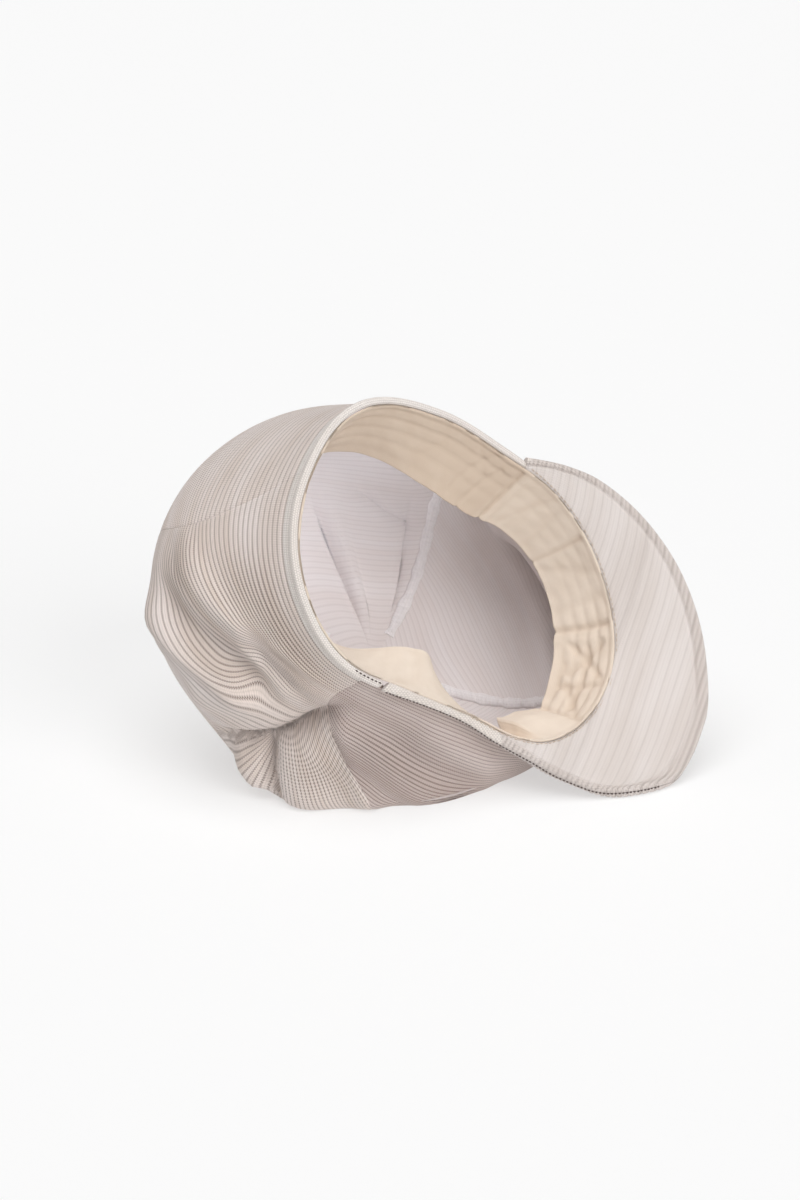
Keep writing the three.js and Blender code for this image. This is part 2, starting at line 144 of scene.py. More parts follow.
SECTIONS = Table("at rim belly belly_rise top top_rise", [
    (0, 104, 98, 44, 62, 76),
    (30, 98, 106, 46, 66, 80),
    (60, 73, 120, 50, 74, 88),
    (90, 70, 116, 62, 78, 98),
    (120, 83, 113, 70, 78, 106),
    (150, 88, 125, 79, 82, 116),
    (180, 89, 121, 86, 80, 120),
    (210, 90, 111, 80, 75, 116),
    (240, 78, 95, 70, 61, 106),
    (270, 72, 83, 60, 54, 96),
    (300, 80, 86, 56, 58, 86),
    (330, 92, 90, 50, 60, 80),
], period=360)

# angle of each panel seam at places along it
SEAMS = {
    "front": Table("along angle", [(0, 0), (0.12, 0), (0.25, 0), (0.45, -2), (1, 0)]),
    "left": Table("along angle", [(0, 106), (0.12, 105), (0.25, 80), (0.45, 72), (1, 80)]),
    "back": Table("along angle", [(0, 180), (0.12, 171), (0.25, 167), (0.45, 171), (1, 178)]),
    "right": Table("along angle", [(0, 270), (0.12, 269), (0.25, 269), (0.45, 268), (1, 284)]),
}

# name, three points (at, along), half width, height: ridges above zero, valleys below
FOLDS = [
    ("slit", (101, 0.05), (109, 0.27), (122, 0.52), 7, -14),
    ("upper lip", (112, 0.07), (121, 0.24), (134, 0.46), 7, 4),
    ("main lobe", (98, 0.16), (97, 0.28), (90, 0.42), 14, 6),
    ("small lobe", (118, 0.4), (111, 0.43), (102, 0.46), 8, 5),
    ("between the lobes", (109, 0.27), (106, 0.34), (99, 0.43), 5, -8),
    ("left seam ridge", (106, 0.09), (91, 0.18), (72, 0.32), 8, 5),
    ("upper fan", (166, 0.3), (138, 0.17), (108, 0.12), 7, 5),
    ("between the fans", (160, 0.37), (134, 0.22), (110, 0.155), 6, -5),
    ("lower fan", (158, 0.46), (131, 0.28), (112, 0.19), 9, 6),
    ("overlap", (134, 0.125), (120, 0.1), (104, 0.095), 4, 3),
    ("overlap edge", (138, 0.155), (122, 0.13), (106, 0.125), 4, -3),
    ("back tuck", (224, 0.62), (229, 0.8), (232, 0.97), 5, 5),
    ("tuck lip", (229, 0.6), (235, 0.79), (240, 0.96), 5, -4),
    ("back crease", (238, 0.6), (252, 0.63), (268, 0.64), 4, 4),
    ("turn of the right side", (222, 0.52), (262, 0.46), (300, 0.47), 7, 4),
    ("turn of the front", (292, 0.47), (325, 0.41), (358, 0.44), 7, 4),
    ("front swag", (92, 0.1), (60, 0.17), (38, 0.24), 9, -4),
    ("front roll", (80, 0.06), (58, 0.09), (40, 0.13), 8, 3),
    ("front low roll", (74, 0.27), (56, 0.235), (40, 0.2), 9, 4.5),
]

# sharp creases beside and inside the large folds, in the same columns
CREASES = [
    ("slit sides", (101, 0.05), (109, 0.27), (122, 0.52), 7.5, 7.5),
    ("slit line", (101, 0.07), (109, 0.26), (120, 0.46), 2.6, -7),
    ("valley line", (109, 0.29), (106, 0.35), (100, 0.42), 3.0, -2.6),
    ("turn line of the right side", (236, 0.5), (266, 0.455), (298, 0.46), 4.5, 4),
    ("turn line of the front", (294, 0.46), (325, 0.405), (356, 0.43), 4.5, 4),
    ("beside the right seam", (259, 0.5), (264, 0.7), (273, 0.9), 4, 3),
    ("seam ridge line", (103, 0.11), (92, 0.175), (75, 0.29), 3, 2.2),
    ("lobe crease", (105, 0.2), (103, 0.27), (99, 0.33), 3, -0.8),
    ("small lobe crease", (112, 0.36), (114, 0.4), (113, 0.46), 2.6, -1),
    ("first fan crease", (170, 0.33), (146, 0.225), (116, 0.15), 3, -1.6),
    ("second fan crease", (150, 0.36), (132, 0.27), (114, 0.2), 3.2, -1.4),
    ("third fan crease", (158, 0.5), (140, 0.36), (118, 0.26), 3.4, -1.5),
    ("rim fan crease", (146, 0.2), (128, 0.145), (110, 0.11), 3, -1.5),
    ("fan crest", (172, 0.29), (150, 0.19), (122, 0.125), 3, 1.2),
    ("front fan crease", (96, 0.16), (74, 0.24), (50, 0.33), 5, -1.4),
    ("front fan crest", (94, 0.12), (72, 0.17), (44, 0.22), 4, 1.2),
]
print(len(SECTIONS.rows), "meridians,", len(FOLDS), "folds,", len(CREASES), "creases")


# %% Crown surface
def smooth_crown(degrees, along):
    """The crown without its folds: meridians through rim, belly, top and crown point."""
    degrees, along = np.broadcast_arrays(np.asarray(degrees, float), np.asarray(along, float))
    rim, belly, top = (SECTIONS.at(n, degrees) for n in ("rim", "belly", "top"))
    belly_rise, top_rise = (SECTIONS.at(n, degrees) for n in ("belly_rise", "top_rise"))
    low, mid, high = BELLY_ALONG, TOP_ALONG - BELLY_ALONG, 1 - TOP_ALONG
    out = [rim, belly, top, 0 * rim]
    rise = [CROWN_START + 0 * rim, belly_rise, top_rise, POINT_RISE + 0 * rim]
    out_slope = [(belly - rim) * 0.8 / low, ((belly - rim) / low + (top - belly) / mid) / 2,
                 ((top - belly) / mid - top / high) / 2, -top / high]
    rise_slope = [(belly_rise - CROWN_START) * 1.15 / low,
                  ((belly_rise - CROWN_START) / low + (top_rise - belly_rise) / mid) / 2,
                  ((top_rise - belly_rise) / mid + (POINT_RISE - top_rise) / high) / 2, 0 * rim]
    knots = [0, BELLY_ALONG, TOP_ALONG, 1]
    leg = (along > knots[1]).astype(int) + (along > knots[2])

    def legs(value, slope):
        """One measure of the meridian, a curve for each of its three legs."""
        total = np.zeros_like(rim)
        for k in range(3):
            span = knots[k + 1] - knots[k]
            t = (along - knots[k]) / span
            curve = hermite(t, value[k], value[k + 1], slope[k] * span, slope[k + 1] * span)
            total = np.where(leg == k, curve, total)
        return total

    far, lift, drift = legs(out, out_slope), legs(rise, rise_slope), ease(along)
    turn = degrees * RAD
    return lie(far * np.cos(turn) + drift * POINT_FRONT, far * np.sin(turn) + drift * POINT_LEFT, lift)


def fold_height(degrees, along):
    """Height of all folds: each is a soft ridge along a path of two legs."""
    total = 0 * (degrees + along)
    for _, start, via, end, width, height in FOLDS + CREASES:
        x = (np.mod(degrees - via[0] + 180, 360) - 180) * RAD * GIRTH
        y = (along - via[1]) * CREST
        legs = []
        for at, far in (start, end):
            leg_x, leg_y = (at - via[0]) * RAD * GIRTH, (far - via[1]) * CREST
            length = math.hypot(leg_x, leg_y)
            t = np.clip((x * leg_x + y * leg_y) / length**2, 0, 1)
            legs.append((length, t * length, np.hypot(x - t * leg_x, y - t * leg_y)))
        (first, back, off_first), (second, ahead, off_second) = legs
        place = np.where(off_first < off_second, first - back, first + ahead)
        fade = ease(np.minimum(place, first + second - place) / (0.25 * (first + second)))
        total = total + height * fade * np.exp(-((np.minimum(off_first, off_second) / width) ** 2))
    return total * ease(along / 0.06)


def outward(surface, a, b, step_a, step_b):
    """Unit direction square to a surface that is a function of two places."""
    along_a = surface(a + step_a, b) - surface(a - step_a, b)
    along_b = surface(a, b + step_b) - surface(a, b - step_b)
    way = np.cross(along_a, along_b)
    return way / np.maximum(np.linalg.norm(way, axis=-1, keepdims=True), 1e-9)


def crown_outside(degrees, along):
    way = outward(smooth_crown, degrees, np.clip(along, 0.01, 0.985), 0.5, 0.005)
    return press(smooth_crown(degrees, along) + way * fold_height(degrees, along)[..., None], 0, FLOOR_ROUND)


def crown_way(degrees, along):
    return outward(crown_outside, degrees, np.clip(along, 0.015, 0.98), 1.2, 0.012)


def crown_layers(degrees, along, *depths):
    """Places in the crown cloth, each layer a depth below its outside."""
    outside, way = crown_outside(degrees, along), crown_way(degrees, along)
    layers = []
    for depth in depths:
        point = outside - way * np.asarray(depth)[..., None]
        point[..., 2] = np.maximum(point[..., 2], depth)
        layers.append(point)
    return layers


# %% [markdown]
# ## From surface to cloth
# A sheet of cloth is two grids of points, a face and a back, joined round their edges. Solidify could
# thicken one grid, but here face and back have ribs of their own, so both are worked out.

# %% Cloth maker
def make_mesh(name, points, faces, uvs=None, marks=None, materials=(), gather_and_shade=None):
    """A mesh object from points in millimetres."""
    mesh = bpy.data.meshes.new(name)
    mesh.from_pydata((np.asarray(points) * MM).tolist(), [], faces)
    if uvs is not None:
        layer = mesh.uv_layers.new(name="cloth")
        loops = np.zeros(len(mesh.loops), int)
        mesh.loops.foreach_get("vertex_index", loops)
        layer.data.foreach_set("uv", np.asarray(uvs, float)[loops].ravel())
    if gather_and_shade is not None:
        mesh.attributes.new("gather_and_shade", "FLOAT", "POINT").data.foreach_set("value", np.asarray(gather_and_shade, float))
    for material in materials:
        mesh.materials.append(material)
    if marks is not None:
        mesh.polygons.foreach_set("material_index", marks)
    mesh.polygons.foreach_set("use_smooth", [True] * len(mesh.polygons))
    mesh.update()
    made = bpy.data.objects.new(name, mesh)
    bpy.context.collection.objects.link(made)
    return made


def grid_quads(rows, columns, keep=None):
    quads = []
    for i in range(rows - 1):
        for j in range(columns - 1):
            if keep is None or keep(i, j):
                a = i * columns + j
                quads.append((a, a + 1, a + columns + 1, a + columns))
    return quads


def border(quads):
    """Edges that only one face uses, in that face's direction."""
    seen = {}
    for face in quads:
        for a, b in zip(face, face[1:] + face[:1]):
            seen[(a, b)] = True
    return [(a, b) for a, b in seen if (b, a) not in seen]


def closed_faces(quads, count, flip=False):
    """Faces of a sheet's front, then of its back, then of the border that joins them."""
    if flip:
        quads = [q[::-1] for q in quads]
    backs = [tuple(i + count for i in q[::-1]) for q in quads]
    return quads + backs + [(b, a, a + count, b + count) for a, b in border(quads)]


def tube_faces(rows, sides, stride, base=0):
    """Faces round a tube, and its two ends."""
    faces = []
    for i in range(base, base + (rows - 1) * stride, stride):
        ring = [(j, (j + 1) % sides) for j in range(sides)]
        faces += [(i + a, i + b, i + stride + b, i + stride + a) for a, b in ring]
    last = base + (rows - 1) * stride
    return faces + [tuple(base + j for j in reversed(range(sides))), tuple(last + j for j in range(sides))]


def cloth(name, face, back, uv, materials, tip=None, flip=False, plain_rows=0, gather_and_shade=None):
    """Closed cloth from a face grid and a back grid; a tip closes the last row to one point."""
    rows, columns = face.shape[:2]
    count = rows * columns
    front_points, back_points = face.reshape(-1, 3), back.reshape(-1, 3)
    quads = grid_quads(rows, columns)
    uvs = uv.reshape(-1, 2)
    if tip is not None:
        front_points, back_points = np.vstack([front_points, tip[0]]), np.vstack([back_points, tip[1]])
        uvs = np.vstack([uvs, uvs[-columns // 2]])
        last = count - columns
        quads += [(last + j, last + j + 1, count) for j in range(columns - 1)]
        count += 1
    faces = closed_faces(quads, count, flip)
    plain, sheet = plain_rows * (columns - 1), len(quads)
    marks = [1] * plain + [0] * (sheet - plain) + [len(materials) - 1] * sheet + [0] * (len(faces) - 2 * sheet)
    if gather_and_shade is not None:
        gather_and_shade = np.concatenate([gather_and_shade.ravel(), np.zeros(2 * count - gather_and_shade.size)])
    points = np.vstack([front_points, back_points])
    return make_mesh(name, points, faces, np.vstack([uvs, uvs]), marks, materials, gather_and_shade)


def finish_piece(piece, slot, *nodes):
    """The piece rides on the cap, and stands for its solids."""
    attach(piece, "root")
    if nodes:
        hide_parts(*nodes)
    lo, hi = (np.array(piece.bound_box).min(0), np.array(piece.bound_box).max(0))
    print(f"{piece.name}: {len(piece.data.polygons)} faces, {np.round((hi - lo) / MM).astype(int)} mm")


# %% [markdown]
# ## Rib knit
# The cloth is a fine rib: rounded ribs with narrow grooves, a beige yarn beside a pinkish grey one. The
# ribs are real shape in the mesh. The material adds the two yarns and the rows of small stitches, and paints
# shade into the grooves and the dips between stitches, as a node group that every ribbed material shares. It
# reads the cloth's own map: millimetres along a rib, and ribs counted across. Where the mesh says that the
# cloth is gathered, the grooves are wider, and painted shade makes them darker and turns the yarn's colour
# toward the darker one. On the peak every second groove is a faint one, because its ribs lie in pairs. A
# photograph of the cloth could do the same, but it wouldn't follow the folds.

# %% Rib colour group
def new_group(name, inputs, outputs):
    group = bpy.data.node_groups.new(name, "ShaderNodeTree")
    for label, kind, value in inputs:
        socket = group.interface.new_socket(label, in_out="INPUT", socket_type=kind)
        socket.default_value = value
    for label, kind in outputs:
        group.interface.new_socket(label, in_out="OUTPUT", socket_type=kind)
    return group, group.nodes.new("NodeGroupInput"), group.nodes.new("NodeGroupOutput")


class Nodes:
    """Adds nodes to a tree; each value given is a number, a colour or another node's socket."""

    def __init__(self, tree):
        self.tree = tree

    def add(self, kind, sockets=(), values=(), **settings):
        node = self.tree.nodes.new("ShaderNode" + kind)
        for setting, value in settings.items():
            setattr(node, setting, value)
        for socket, value in zip(sockets or range(len(values)), values):
            if isinstance(value, (int, float, tuple)):
                node.inputs[socket].default_value = value
            else:
                self.tree.links.new(value, node.inputs[socket])
        return node

    def maths(self, operation, *values, clamp=False):
        return self.add("Math", values=values, operation=operation, use_clamp=clamp).outputs[0]

    def mix(self, factor, first, second):
        return self.add("Mix", (0, 6, 7), (factor, first, second), data_type="RGBA").outputs[2]

    def noise(self, place, scale, detail):
        return self.add("TexNoise", ("Vector", "Scale", "Detail"), (place, scale, detail)).outputs["Fac"]

    def cloth_map(self):
        """The cloth's own map, its two distances, and how far it is gathered or painted in shade."""
        place = self.add("UVMap", uv_map="cloth").outputs[0]
        split = self.add("SeparateXYZ", values=(place,))
        gathered = self.add("Attribute", attribute_name="gather_and_shade").outputs["Fac"]
        return place, split.outputs[0], split.outputs[1], gathered


def rib_group():
    group, given, made = new_group(
        "two-tone rib knit",
        [("Light yarn", "NodeSocketColor", (0.7, 0.65, 0.61, 1)),
         ("Dark yarn", "NodeSocketColor", (0.5, 0.43, 0.39, 1)),
         ("Groove", "NodeSocketColor", (0.33, 0.28, 0.26, 1)), ("Stitch length", "NodeSocketFloat", 1.15),
         ("Groove width", "NodeSocketFloat", 0.3), ("Groove shade", "NodeSocketFloat", 1.35),
         ("Stitch shade", "NodeSocketFloat", 0.4), ("Pairing", "NodeSocketFloat", 0.0)],
        [("Colour", "NodeSocketColor"), ("Height", "NodeSocketFloat")])
    nodes = Nodes(group)
    maths = nodes.maths
    place, along, across, more = nodes.cloth_map()
    # narrow groove between ribs, wider where the cloth is gathered, and its painted shade darker there too
    width = maths("MULTIPLY", given.outputs["Groove width"], maths("MULTIPLY_ADD", more, 0.4, 1.0))
    from_middle = maths("ABSOLUTE", maths("SUBTRACT", maths("FRACT", across), 0.5))
    edge = maths("SUBTRACT", from_middle, maths("SUBTRACT", 0.5, width))
    groove = maths("DIVIDE", edge, width, clamp=True)
    # every second groove can be a faint one, where ribs lie in pairs
    nearest = maths("FLOOR", maths("ADD", across, 0.5))
    odd = maths("MULTIPLY", maths("FRACT", maths("MULTIPLY", nearest, 0.5)), 2.0)
    faint = maths("SUBTRACT", 1.0, maths("MULTIPLY", odd, given.outputs["Pairing"]))
    groove = maths("MULTIPLY", groove, faint)
    # two columns of stitches to a rib, one half a stitch behind the other
    half = maths("MULTIPLY", maths("FLOOR", maths("MULTIPLY", across, 2.0)), 0.5)
    row = maths("ADD", maths("DIVIDE", along, given.outputs["Stitch length"]), half)
    bead = maths("ABSOLUTE", maths("SINE", maths("MULTIPLY", row, math.pi)))
    column = maths("ABSOLUTE", maths("SINE", maths("MULTIPLY", across, 2 * math.pi)))
    stitch = maths("MULTIPLY", maths("POWER", bead, 0.5), maths("POWER", column, 0.35))
    dip = maths("SUBTRACT", 1.0, stitch)
    # each rib has its own tone, and wide stripes of ribs differ softly
    own = nodes.add("TexWhiteNoise", ("W",), (maths("FLOOR", across),), noise_dimensions="1D")
    wide = nodes.add("VectorMath", values=(place, (0.012, 0.17, 1.0)), operation="MULTIPLY")
    broad = maths("MULTIPLY_ADD", nodes.noise(wide.outputs[0], 1.0, 2.0), 2.2, -0.75)
    # gathered cloth turns toward the darker yarn: painted shade among the gathers
    own_tone = maths("MULTIPLY_ADD", own.outputs["Value"], 0.28, maths("MULTIPLY", more, 0.5))
    tone = maths("ADD", broad, own_tone, clamp=True)
    colour = nodes.mix(tone, given.outputs["Light yarn"], given.outputs["Dark yarn"])
    # uneven stitches
    uneven = maths("MULTIPLY_ADD", nodes.noise(place, 1.3, 2.0), 1.6, 0.1)
    # painted shade: the grooves and the dips between stitches are darkened toward the groove colour
    in_groove = maths("MULTIPLY", groove, maths("MULTIPLY_ADD", bead, -0.8, 1.0))
    shade = maths("MULTIPLY", given.outputs["Groove shade"], maths("MULTIPLY_ADD", more, 0.7, 1.0))
    dark = maths("MULTIPLY", in_groove, shade)
    dots = maths("MULTIPLY", maths("MULTIPLY", dip, given.outputs["Stitch shade"]), uneven)
    colour = nodes.mix(maths("MAXIMUM", dark, dots, clamp=True), colour, given.outputs["Groove"])
    group.links.new(colour, made.inputs["Colour"])
    group.links.new(stitch, made.inputs["Height"])
    return group


def weave_group():
    """Fine plain weave: a colour with thread shade and painted shade, and a height."""
    group, given, made = new_group(
        "plain weave",
        [("Cloth", "NodeSocketColor", (0.8, 0.7, 0.6, 1)), ("Shade", "NodeSocketColor", (0.6, 0.5, 0.4, 1)),
         ("Thread", "NodeSocketFloat", 0.5)],
        [("Colour", "NodeSocketColor"), ("Height", "NodeSocketFloat")])
    nodes = Nodes(group)
    maths = nodes.maths
    place, along, across, painted_shade = nodes.cloth_map()
    threads = []
    for distance in (along, across):
        turn = maths("DIVIDE", distance, given.outputs["Thread"])
        threads.append(maths("ABSOLUTE", maths("SINE", maths("MULTIPLY", turn, math.pi))))
    height = maths("MAXIMUM", *threads)
    thin = maths("MULTIPLY", maths("SUBTRACT", 1.0, height), 0.5)
    worn = maths("MULTIPLY_ADD", nodes.noise(place, 0.12, 3.0), 0.6, -0.2)
    # painted shade on the sweatband: darker along its top stretch and in its creases
    shade = maths("ADD", maths("ADD", thin, worn), painted_shade, clamp=True)
    group.links.new(nodes.mix(shade, given.outputs["Cloth"], given.outputs["Shade"]), made.inputs["Colour"])
    group.links.new(height, made.inputs["Height"])
    return group


RIB_KNIT = rib_group()
WEAVE = weave_group()


# %% [markdown]
# ## Yarns and cotton
# Inside, the knit and the bound seam edges give off a little light,
# most where they stand high, because thin knit lets through the light behind it. That could be real light
# scattered in the cloth, but it darkened the seams. The front left panel has a darker copy of the outside
# knit, which paints shade on it, because it looks darker in the photo.

# %% Materials
def rgb(red, green, blue):
    """A picture colour from 0 to 255 as a linear one."""
    def linear(c):
        c = c / 255
        return c / 12.92 if c <= 0.04045 else ((c + 0.055) / 1.055) ** 2.4
    return (linear(red), linear(green), linear(blue), 1.0)


SKY_LIGHT = rgb(219, 222, 230)
GLOW_FROM, GLOW_OVER, GLOW_SLANT = 0.06, 0.1, 0.8    # metres over the floor, and how much less toward the peak


def set_inputs(node, values):
    for label, value in values.items():
        node.inputs[label].default_value = value


def new_material(name, values):
    """A material and its shader, with values for the shader's inputs."""
    material = bpy.data.materials.new(name)
    material.use_nodes = True
    shader = material.node_tree.nodes["Principled BSDF"]
    set_inputs(shader, values)
    return material, shader


def cloth_material(name, group, values, bump, roughness=0.95, sheen=0.25, shine=0.0):
    material, shader = new_material(name, {
        "Roughness": roughness, "Specular IOR Level": 0.2, "Sheen Weight": sheen, "Sheen Roughness": 0.6})
    tree = material.node_tree
    nodes = Nodes(tree)
    pattern = nodes.add("Group", node_tree=group)
    set_inputs(pattern, values)
    tree.links.new(pattern.outputs["Colour"], shader.inputs["Base Color"])
    if shine:
        # thin knit lets light through from above and behind, most where it stands high over the floor
        place = nodes.add("NewGeometry").outputs["Position"]
        split = nodes.add("SeparateXYZ", values=(place,))
        slant = nodes.maths("MULTIPLY_ADD", split.outputs[0], -GLOW_SLANT, split.outputs[2])
        high = nodes.maths("MULTIPLY_ADD", slant, 1 / GLOW_OVER, -GLOW_FROM / GLOW_OVER, clamp=True)
        glow = nodes.mix(nodes.maths("MULTIPLY", high, shine), (0.0, 0.0, 0.0, 1.0), SKY_LIGHT)
        tree.links.new(glow, shader.inputs["Emission Color"])
        shader.inputs["Emission Strength"].default_value = 1.0
    relief = nodes.add("Bump", ("Strength", "Distance", "Height"), (bump, 0.3 * MM, pattern.outputs["Height"]))
    tree.links.new(relief.outputs["Normal"], shader.inputs["Normal"])
    return material


RIB_OUTSIDE = cloth_material("rib knit outside", RIB_KNIT, {
    "Light yarn": rgb(242, 232, 228), "Dark yarn": rgb(224, 209, 199), "Groove": rgb(124, 106, 97)}, bump=0.6)
# a shaded copy of the outside knit: painted shade on the front left panel
RIB_FRONT_SHADED = cloth_material("rib knit outside, painted shade near the front", RIB_KNIT, {
    "Light yarn": rgb(219, 205, 200), "Dark yarn": rgb(203, 186, 179), "Groove": rgb(110, 92, 86)}, bump=0.6)
RIB_INSIDE = cloth_material("rib knit inside", RIB_KNIT, {
    "Light yarn": rgb(234, 227, 226), "Dark yarn": rgb(229, 219, 216), "Groove": rgb(172, 157, 152),
    "Groove shade": 0.45, "Stitch shade": 0.12}, bump=0.3, shine=0.27)
RIB_PEAK = cloth_material("rib knit on the peak", RIB_KNIT, {
    "Light yarn": rgb(225, 217, 213), "Dark yarn": rgb(214, 204, 198), "Groove": rgb(158, 146, 140),
    "Groove width": 0.45, "Groove shade": 0.6, "Stitch shade": 0.28, "Pairing": 0.4}, bump=0.45)
SEAM_EDGE = cloth_material("overlocked seam edge", RIB_KNIT, {
    "Light yarn": rgb(244, 240, 240), "Dark yarn": rgb(236, 230, 230), "Groove": rgb(196, 186, 184),
    "Groove shade": 0.4, "Stitch shade": 0.3}, bump=0.4, shine=0.36)
PLAIN_KNIT = cloth_material("plain knit edge", RIB_KNIT, {
    "Light yarn": rgb(245, 239, 234), "Dark yarn": rgb(236, 227, 219), "Groove": rgb(118, 102, 95),
    "Groove width": 0.01, "Groove shade": 0.0, "Stitch shade": 0.6}, bump=0.6)
COTTON = cloth_material("cream cotton", WEAVE, {
    "Cloth": rgb(232, 218, 203), "Shade": rgb(209, 190, 171)}, bump=0.3, sheen=0.1)
DARK_THREAD = cloth_material("dark brown thread", WEAVE, {
    "Cloth": rgb(104, 88, 84), "Shade": rgb(74, 62, 60)}, bump=0.1, sheen=0.1)
TAN_THREAD = cloth_material("tan thread", WEAVE, {
    "Cloth": rgb(206, 184, 160), "Shade": rgb(186, 164, 142)}, bump=0.1, sheen=0.1)

# %% [markdown]
# ## Crown panels
# On the real cap each panel is cut with its ribs straight across, so ribs meet in a chevron at the seams
# near the crown point and turn parallel to the rim lower down. The rows of each panel's mesh follow the
# ribs, five or seven rows to a rib, so a rib needs few points along it and many across it. At the pinch by
# the left corner of the peak the cloth is gathered: ribs sink toward it from the back, draw together, and
# turn down over the lobes below it.

# %% Rib directions
# a rib's place along the meridian, and where the pinch draws it, then the angle at which it does
PULLED = [(0.0, 0.0), (0.1, 0.07), (0.35, 0.185), (0.75, 0.75), (1.0, 1.0)]
PULL_AT = [(0.1, 103.0), (0.35, 108.0), (0.6, 120.0)]
PULL_BEHIND, PULL_AHEAD = 24.0, 48.0          # degrees over which they are drawn, behind and ahead of that angle
# a rib's place, and how far it sinks on the back left panel
DROPPED = [(0, 0), (0.1, 0.012), (0.2, 0.045), (0.3, 0.075), (0.4, 0.065), (0.55, 0.03), (0.75, 0)]
DROP_FROM, DROP_OVER = 176.0, 44.0             # each rib of the back left panel drops between these degrees
# along, and the angle where the main lobe ends and where the slit beside it runs
LOBE_EDGE = [(0.05, 101), (0.1, 103), (0.27, 109), (0.34, 106), (0.43, 99), (0.52, 94)]
SLIT_EDGE = [(0.05, 101), (0.27, 109), (0.52, 122)]
FAN_POINT, FAN_STEP = (109.0, 0.27), 5.0      # where the small lobe's ribs meet, and the degrees between them
LOBE_SLANT = 0.34                             # how far the main lobe's ribs lean from the left seam
# where the cloth is gathered, its ribs stand higher and get painted shade: at, along, spread in degrees, spread
# along, height in mm
GATHERS = [
    (156, 0.27, 10, 0.05, 0.5), (126, 0.08, 16, 0.05, 0.5), (146, 0.12, 12, 0.07, 0.35),
    (134, 0.24, 14, 0.06, 0.2), (156, 0.43, 12, 0.07, 0.2), (112, 0.42, 10, 0.07, 0.1),
    (80, 0.16, 18, 0.09, 0.3), (50, 0.26, 18, 0.08, 0.25), (96, 0.25, 10, 0.1, 0.3),
]


def across_table(rows, place):
    return np.interp(place, [r[0] for r in rows], [r[1] for r in rows])


def pinch_pull(rib, degrees):
    """How far a rib of the left panels is drawn toward the pinch."""
    off = degrees - across_table(PULL_AT, rib)
    fade = np.where(off > 0, np.exp(-((off / PULL_BEHIND) ** 2)), np.exp(-((np.abs(off) / PULL_AHEAD) ** 3)))
    return (rib - across_table(PULLED, rib)) * fade


def turned_ribs(count, run, degrees, along):
    """Rib count and run on the lobes under the pinch: down the main one, fanning out over the small one."""
    from_seam = (degrees - SEAMS["left"].at("angle", along)) * RAD * GIRTH
    down = (from_seam + LOBE_SLANT * (along - 0.2) * CREST) / RIB
    x, y = (degrees - FAN_POINT[0]) * RAD * GIRTH, (along - FAN_POINT[1]) * CREST
    fan = np.arctan2(y, x) / RAD / FAN_STEP
    main = ease((across_table(LOBE_EDGE, along) - degrees) / 2.4 + 0.5) * ease((along - 0.085) / 0.03)
    main = main * ease((0.56 - along) / 0.05)
    small = ease((across_table(SLIT_EDGE, along) - degrees) / 2.4 + 0.5) * ease((along - 0.29) / 0.02)
    small = small * ease((0.53 - along) / 0.05) * (1 - main)
    turned = np.where(main > 0.5, down, np.where(small > 0.5, fan, count))
    far = np.where(main > 0.5, along * CREST, np.where(small > 0.5, np.hypot(x, y), run))
    middle = np.exp(-((np.hypot(x, y) / 7) ** 2)) * (small > 0.5)
    line = np.maximum(ease(1 - np.abs(main - 0.5) / 0.3), ease(1 - np.abs(small - 0.5) / 0.3))
    return turned, far, np.maximum(line, middle)


def gathered(degrees, along):
    total = 0 * (degrees + along)
    for at, far, wide, high, height in GATHERS:
        total = total + height * np.exp(-(((degrees - at) / wide) ** 2) - ((along - far) / high) ** 2)
    return total


# %% Panel maker
RIB_DEPTH, INSIDE_RIB_DEPTH = 0.26, 0.12
PANEL_END, PANEL_TIP = 0.972, 0.994
EDGE_STEPS = [0.0, 0.003, 0.008, 0.014, 0.022, 0.032]
CHEVRON_FROM, CHEVRON_TO = 35.0, 160.0
CHEVRON_TURN = 90 * RAD  # how far the ribs of a panel turn from one seam to the next
EDGE_STRIP = 4.2         # plain knit beside the hem
SEAM_TUCK = {"front": 0.9, "left": 0.2, "back": 0.15, "right": 0.9}
PANELS = [  # name, seams at both sides, turn, rows to a rib, columns, share of columns in the first quarter
    ("crown_front_left", "front", "left", 0, 7, 64, 0.25),
    ("crown_back_left", "left", "back", 0, 5, 114, 0.62),
    ("crown_back_right", "back", "right", 0, 5, 60, 0.25),
    ("crown_front_right", "right", "front", 360, 5, 60, 0.25),
]


def rib_round(count):
    """Height across ribs counted along a line: rounded tops and narrow grooves, from 0 to 1."""
    phase = np.mod(count, 1.0)
    return np.sqrt(np.clip(1 - (2 * phase - 1) ** 2, 0, 1)) ** 0.8


def half_across(seam, along, width):
    """Half a width measured square across a seam, as an angle about the crown's axis."""
    angle = seam.at("angle", along)
    run = crown_outside(seam.at("angle", along + 0.01), along + 0.01)
    run = run - crown_outside(seam.at("angle", along - 0.01), along - 0.01)
    run /= np.linalg.norm(run, axis=-1, keepdims=True)
    per_degree = crown_outside(angle + 0.5, along) - crown_outside(angle - 0.5, along)
    return width / 2 / np.linalg.norm(np.cross(per_degree, run), axis=-1)


def run_along_rows(points):
    """Distance along each row of a grid, from the row's first point."""
    steps = np.linalg.norm(np.diff(points, axis=1), axis=-1)
    return np.concatenate([np.zeros((len(points), 1)), np.cumsum(steps, axis=1)], axis=1)


